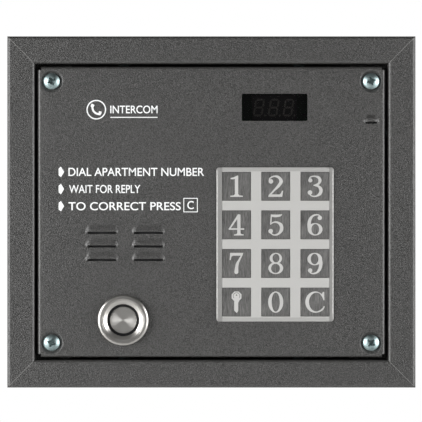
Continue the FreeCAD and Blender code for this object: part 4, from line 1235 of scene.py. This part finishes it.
def make_rivets():
    """Pop rivets: a low head inside the opening and a set tail outside the box."""
    reach = box_mm("frame_rivets")[1]
    wall, cap = reach.x - RIVET_LENGTH, reach.z - RIVET_LENGTH
    places = [((side * wall, RIVET_DEPTH, z), (side, 0, 0)) for side in (-1, 1) for z in (-40, 40)]
    places += [((x, RIVET_DEPTH, side * cap), (0, 0, side)) for side in (-1, 1) for x in (-45, 45)]
    ends = (("rivet_heads", 0, -1, 3.15, 0.85, ["frame_rivets"]),
            ("rivet_tails", RIVET_GRIP, 1, 2.5, 1.15, []))
    for name, along, turn, radius, height, replaced in ends:
        start = start_points(name, [Vector(place) + Vector(way) * along for place, way in places],
                             [Vector(way) * turn for _, way in places])
        mesh = grown(name, DOMES, start, ZINC, Radius=radius, Height=height, Sides=24, Rings=12)
        new_piece(name, mesh, ZINC, FRAME, replaced)


def make_solder_joints():
    """The joints on the main board's front, under the plugs, capacitors and trimmers."""
    front = box_mm("main_board")[0].y
    places = []
    for x, z, pins, pitch in ((PAD.x, PLUG_ROW, 8, 2.54), (-41.2, PLUG_ROW, 5, 2.54), (*MIC_PLUG, 2, 2.5)):
        places += [(x + (i - (pins - 1) / 2) * pitch, front, z + row * 1.27)
                   for i in range(pins) for row in (-1, 1)]
    places += [(-5 + i * 6, front, 35.2) for i in range(3)]
    places += [(x + dx, front, z) for x, z in ((39, 50), (49, 50), (44, 60.5)) for dx in (-1.3, 1.3)]
    places += [(x + dx, front, 60 + dz) for x in (-30, -46) for dx, dz in ((-2.5, -2), (2.5, -2), (0, 2.4))]
    mesh = grown("solder_joints", DOMES, start_points("joints", places, (0, -1, 0)), SOLDER,
                 Radius=0.85, Height=0.6, Sides=14, Rings=8)
    new_piece("solder_joints", mesh, SOLDER, PANEL)


def add_wires(name, run, wires, radius, replaced=()):
    mesh = grown(name, WIRES, start_line(name + "_run", run), JACKET, Radius=radius, Pitch=1.0, Wires=wires,
                 Bend=3.0)
    new_piece(name, mesh, JACKET, PANEL, replaced)


def make_wiring():
    """The flat cable's wires and the leads, each bent along its own run from a part to its plug."""
    plug = box_mm("board_connectors")[1].y - PLUG_DEPTH
    low, high = box_mm("ribbon_cable")
    x = low.x + 0.5
    run = [(x, low.y, low.z + 0.5), (x, high.y - 0.5, low.z + 0.5), (x, high.y - 0.5, high.z - 0.5),
           (x, plug, high.z - 0.5)]
    add_wires("ribbon_wires", run, 19, 0.5, ["ribbon_cable"])
    low, high = box_mm("inner_leads")
    back = high.y - 1
    leads = (("speaker_lead", low.x + 0.5, box_mm("speaker_magnet")[1].y, -6, ["inner_leads"]),
             ("reader_lead", READER.x + 5.9, -37, READER.z, []))
    for name, x, start, z, replaced in leads:
        add_wires(name, [(x, start, z), (x, back, z), (x, back, PLUG_ROW), (x, plug, PLUG_ROW)], 2, 0.5,
                  replaced)
    x, z = MIC_PLUG
    add_wires("microphone_lead", [(MIC.x, low.y, MIC.z), (MIC.x, back, MIC.z), (x, back, z), (x, plug, z)], 1,
              0.9)


# ---- light, floor and camera ----
SOFT_WORLD = 0.05
FLOOR_REACH = 1600
FLOOR_LEVEL = -420
WIDTH_SEEN = 0.2148


def area_light(name, place, target, size, size_y, power):
    data = bpy.data.lights.new(name, "AREA")
    data.shape = "RECTANGLE"
    data.size = size
    data.size_y = size_y
    data.energy = power
    lamp = bpy.data.objects.new(name, data)
    bpy.context.scene.collection.objects.link(lamp)
    lamp.location = place
    lamp.rotation_euler = (Vector(target) - Vector(place)).to_track_quat("-Z", "Y").to_euler()


def make_stage():
    scene = bpy.context.scene
    scene.view_settings.view_transform = "Standard"
    world = bpy.data.worlds.new("white_studio")
    scene.world = world
    world.use_nodes = True
    tree = world.node_tree
    background = tree.nodes["Background"]
    background.inputs["Color"].default_value = (1, 1, 1, 1)
    path = tree.nodes.new("ShaderNodeLightPath")
    seen = calculate(tree, "MULTIPLY", path.outputs["Is Camera Ray"], 1.0 - SOFT_WORLD)
    strength = calculate(tree, "ADD", seen, SOFT_WORLD)
    tree.links.new(strength, background.inputs["Strength"])
    corners = [(FLOOR_REACH * x, FLOOR_REACH * y, FLOOR_LEVEL) for x,
               y in ((-1, -1), (1, -1), (1, 1), (-1, 1))]
    floor_mesh = mesh_from("studio_floor", corners, [(0, 1, 2, 3)])
    floor = bpy.data.objects.new("studio_floor", floor_mesh)
    scene.collection.objects.link(floor)
    floor_mesh.materials.append(plain("pale_floor", (0.86, 0.86, 0.85), 0.8, grain=60.0, amount=0.01,
                                      height_mm=0.01))
    face = (0, -0.047, 0)
    area_light("left_softbox", (-0.92, -0.50, 0.08), face, 0.7, 0.8, 16)
    area_light("right_softbox", (0.96, -0.42, 0.05), face, 0.6, 0.8, 13)
    area_light("front_fill", (-0.1, -1.8, 1.1), face, 1.2, 1.0, 2)


def make_camera():
    data = bpy.data.cameras.new("front_camera")
    data.lens = 200
    data.sensor_width = 36
    camera = bpy.data.objects.new("front_camera", data)
    bpy.context.scene.collection.objects.link(camera)
    distance = WIDTH_SEEN * data.lens / data.sensor_width
    camera.location = (-0.0002, FRONT_FACE * MM - distance, 0.0005)
    camera.rotation_euler = Euler((math.pi / 2, 0, 0))
    bpy.context.scene.camera = camera


FRONT_FACE = box_mm("frame_top_rail")[0].y
for make in (make_panel, make_grid, make_keys, make_printing, make_frame, make_seams, make_window,
             make_reader,
             make_mat, make_insides, make_screws, make_rivets, make_solder_joints, make_wiring, make_stage,
             make_camera):
    make()
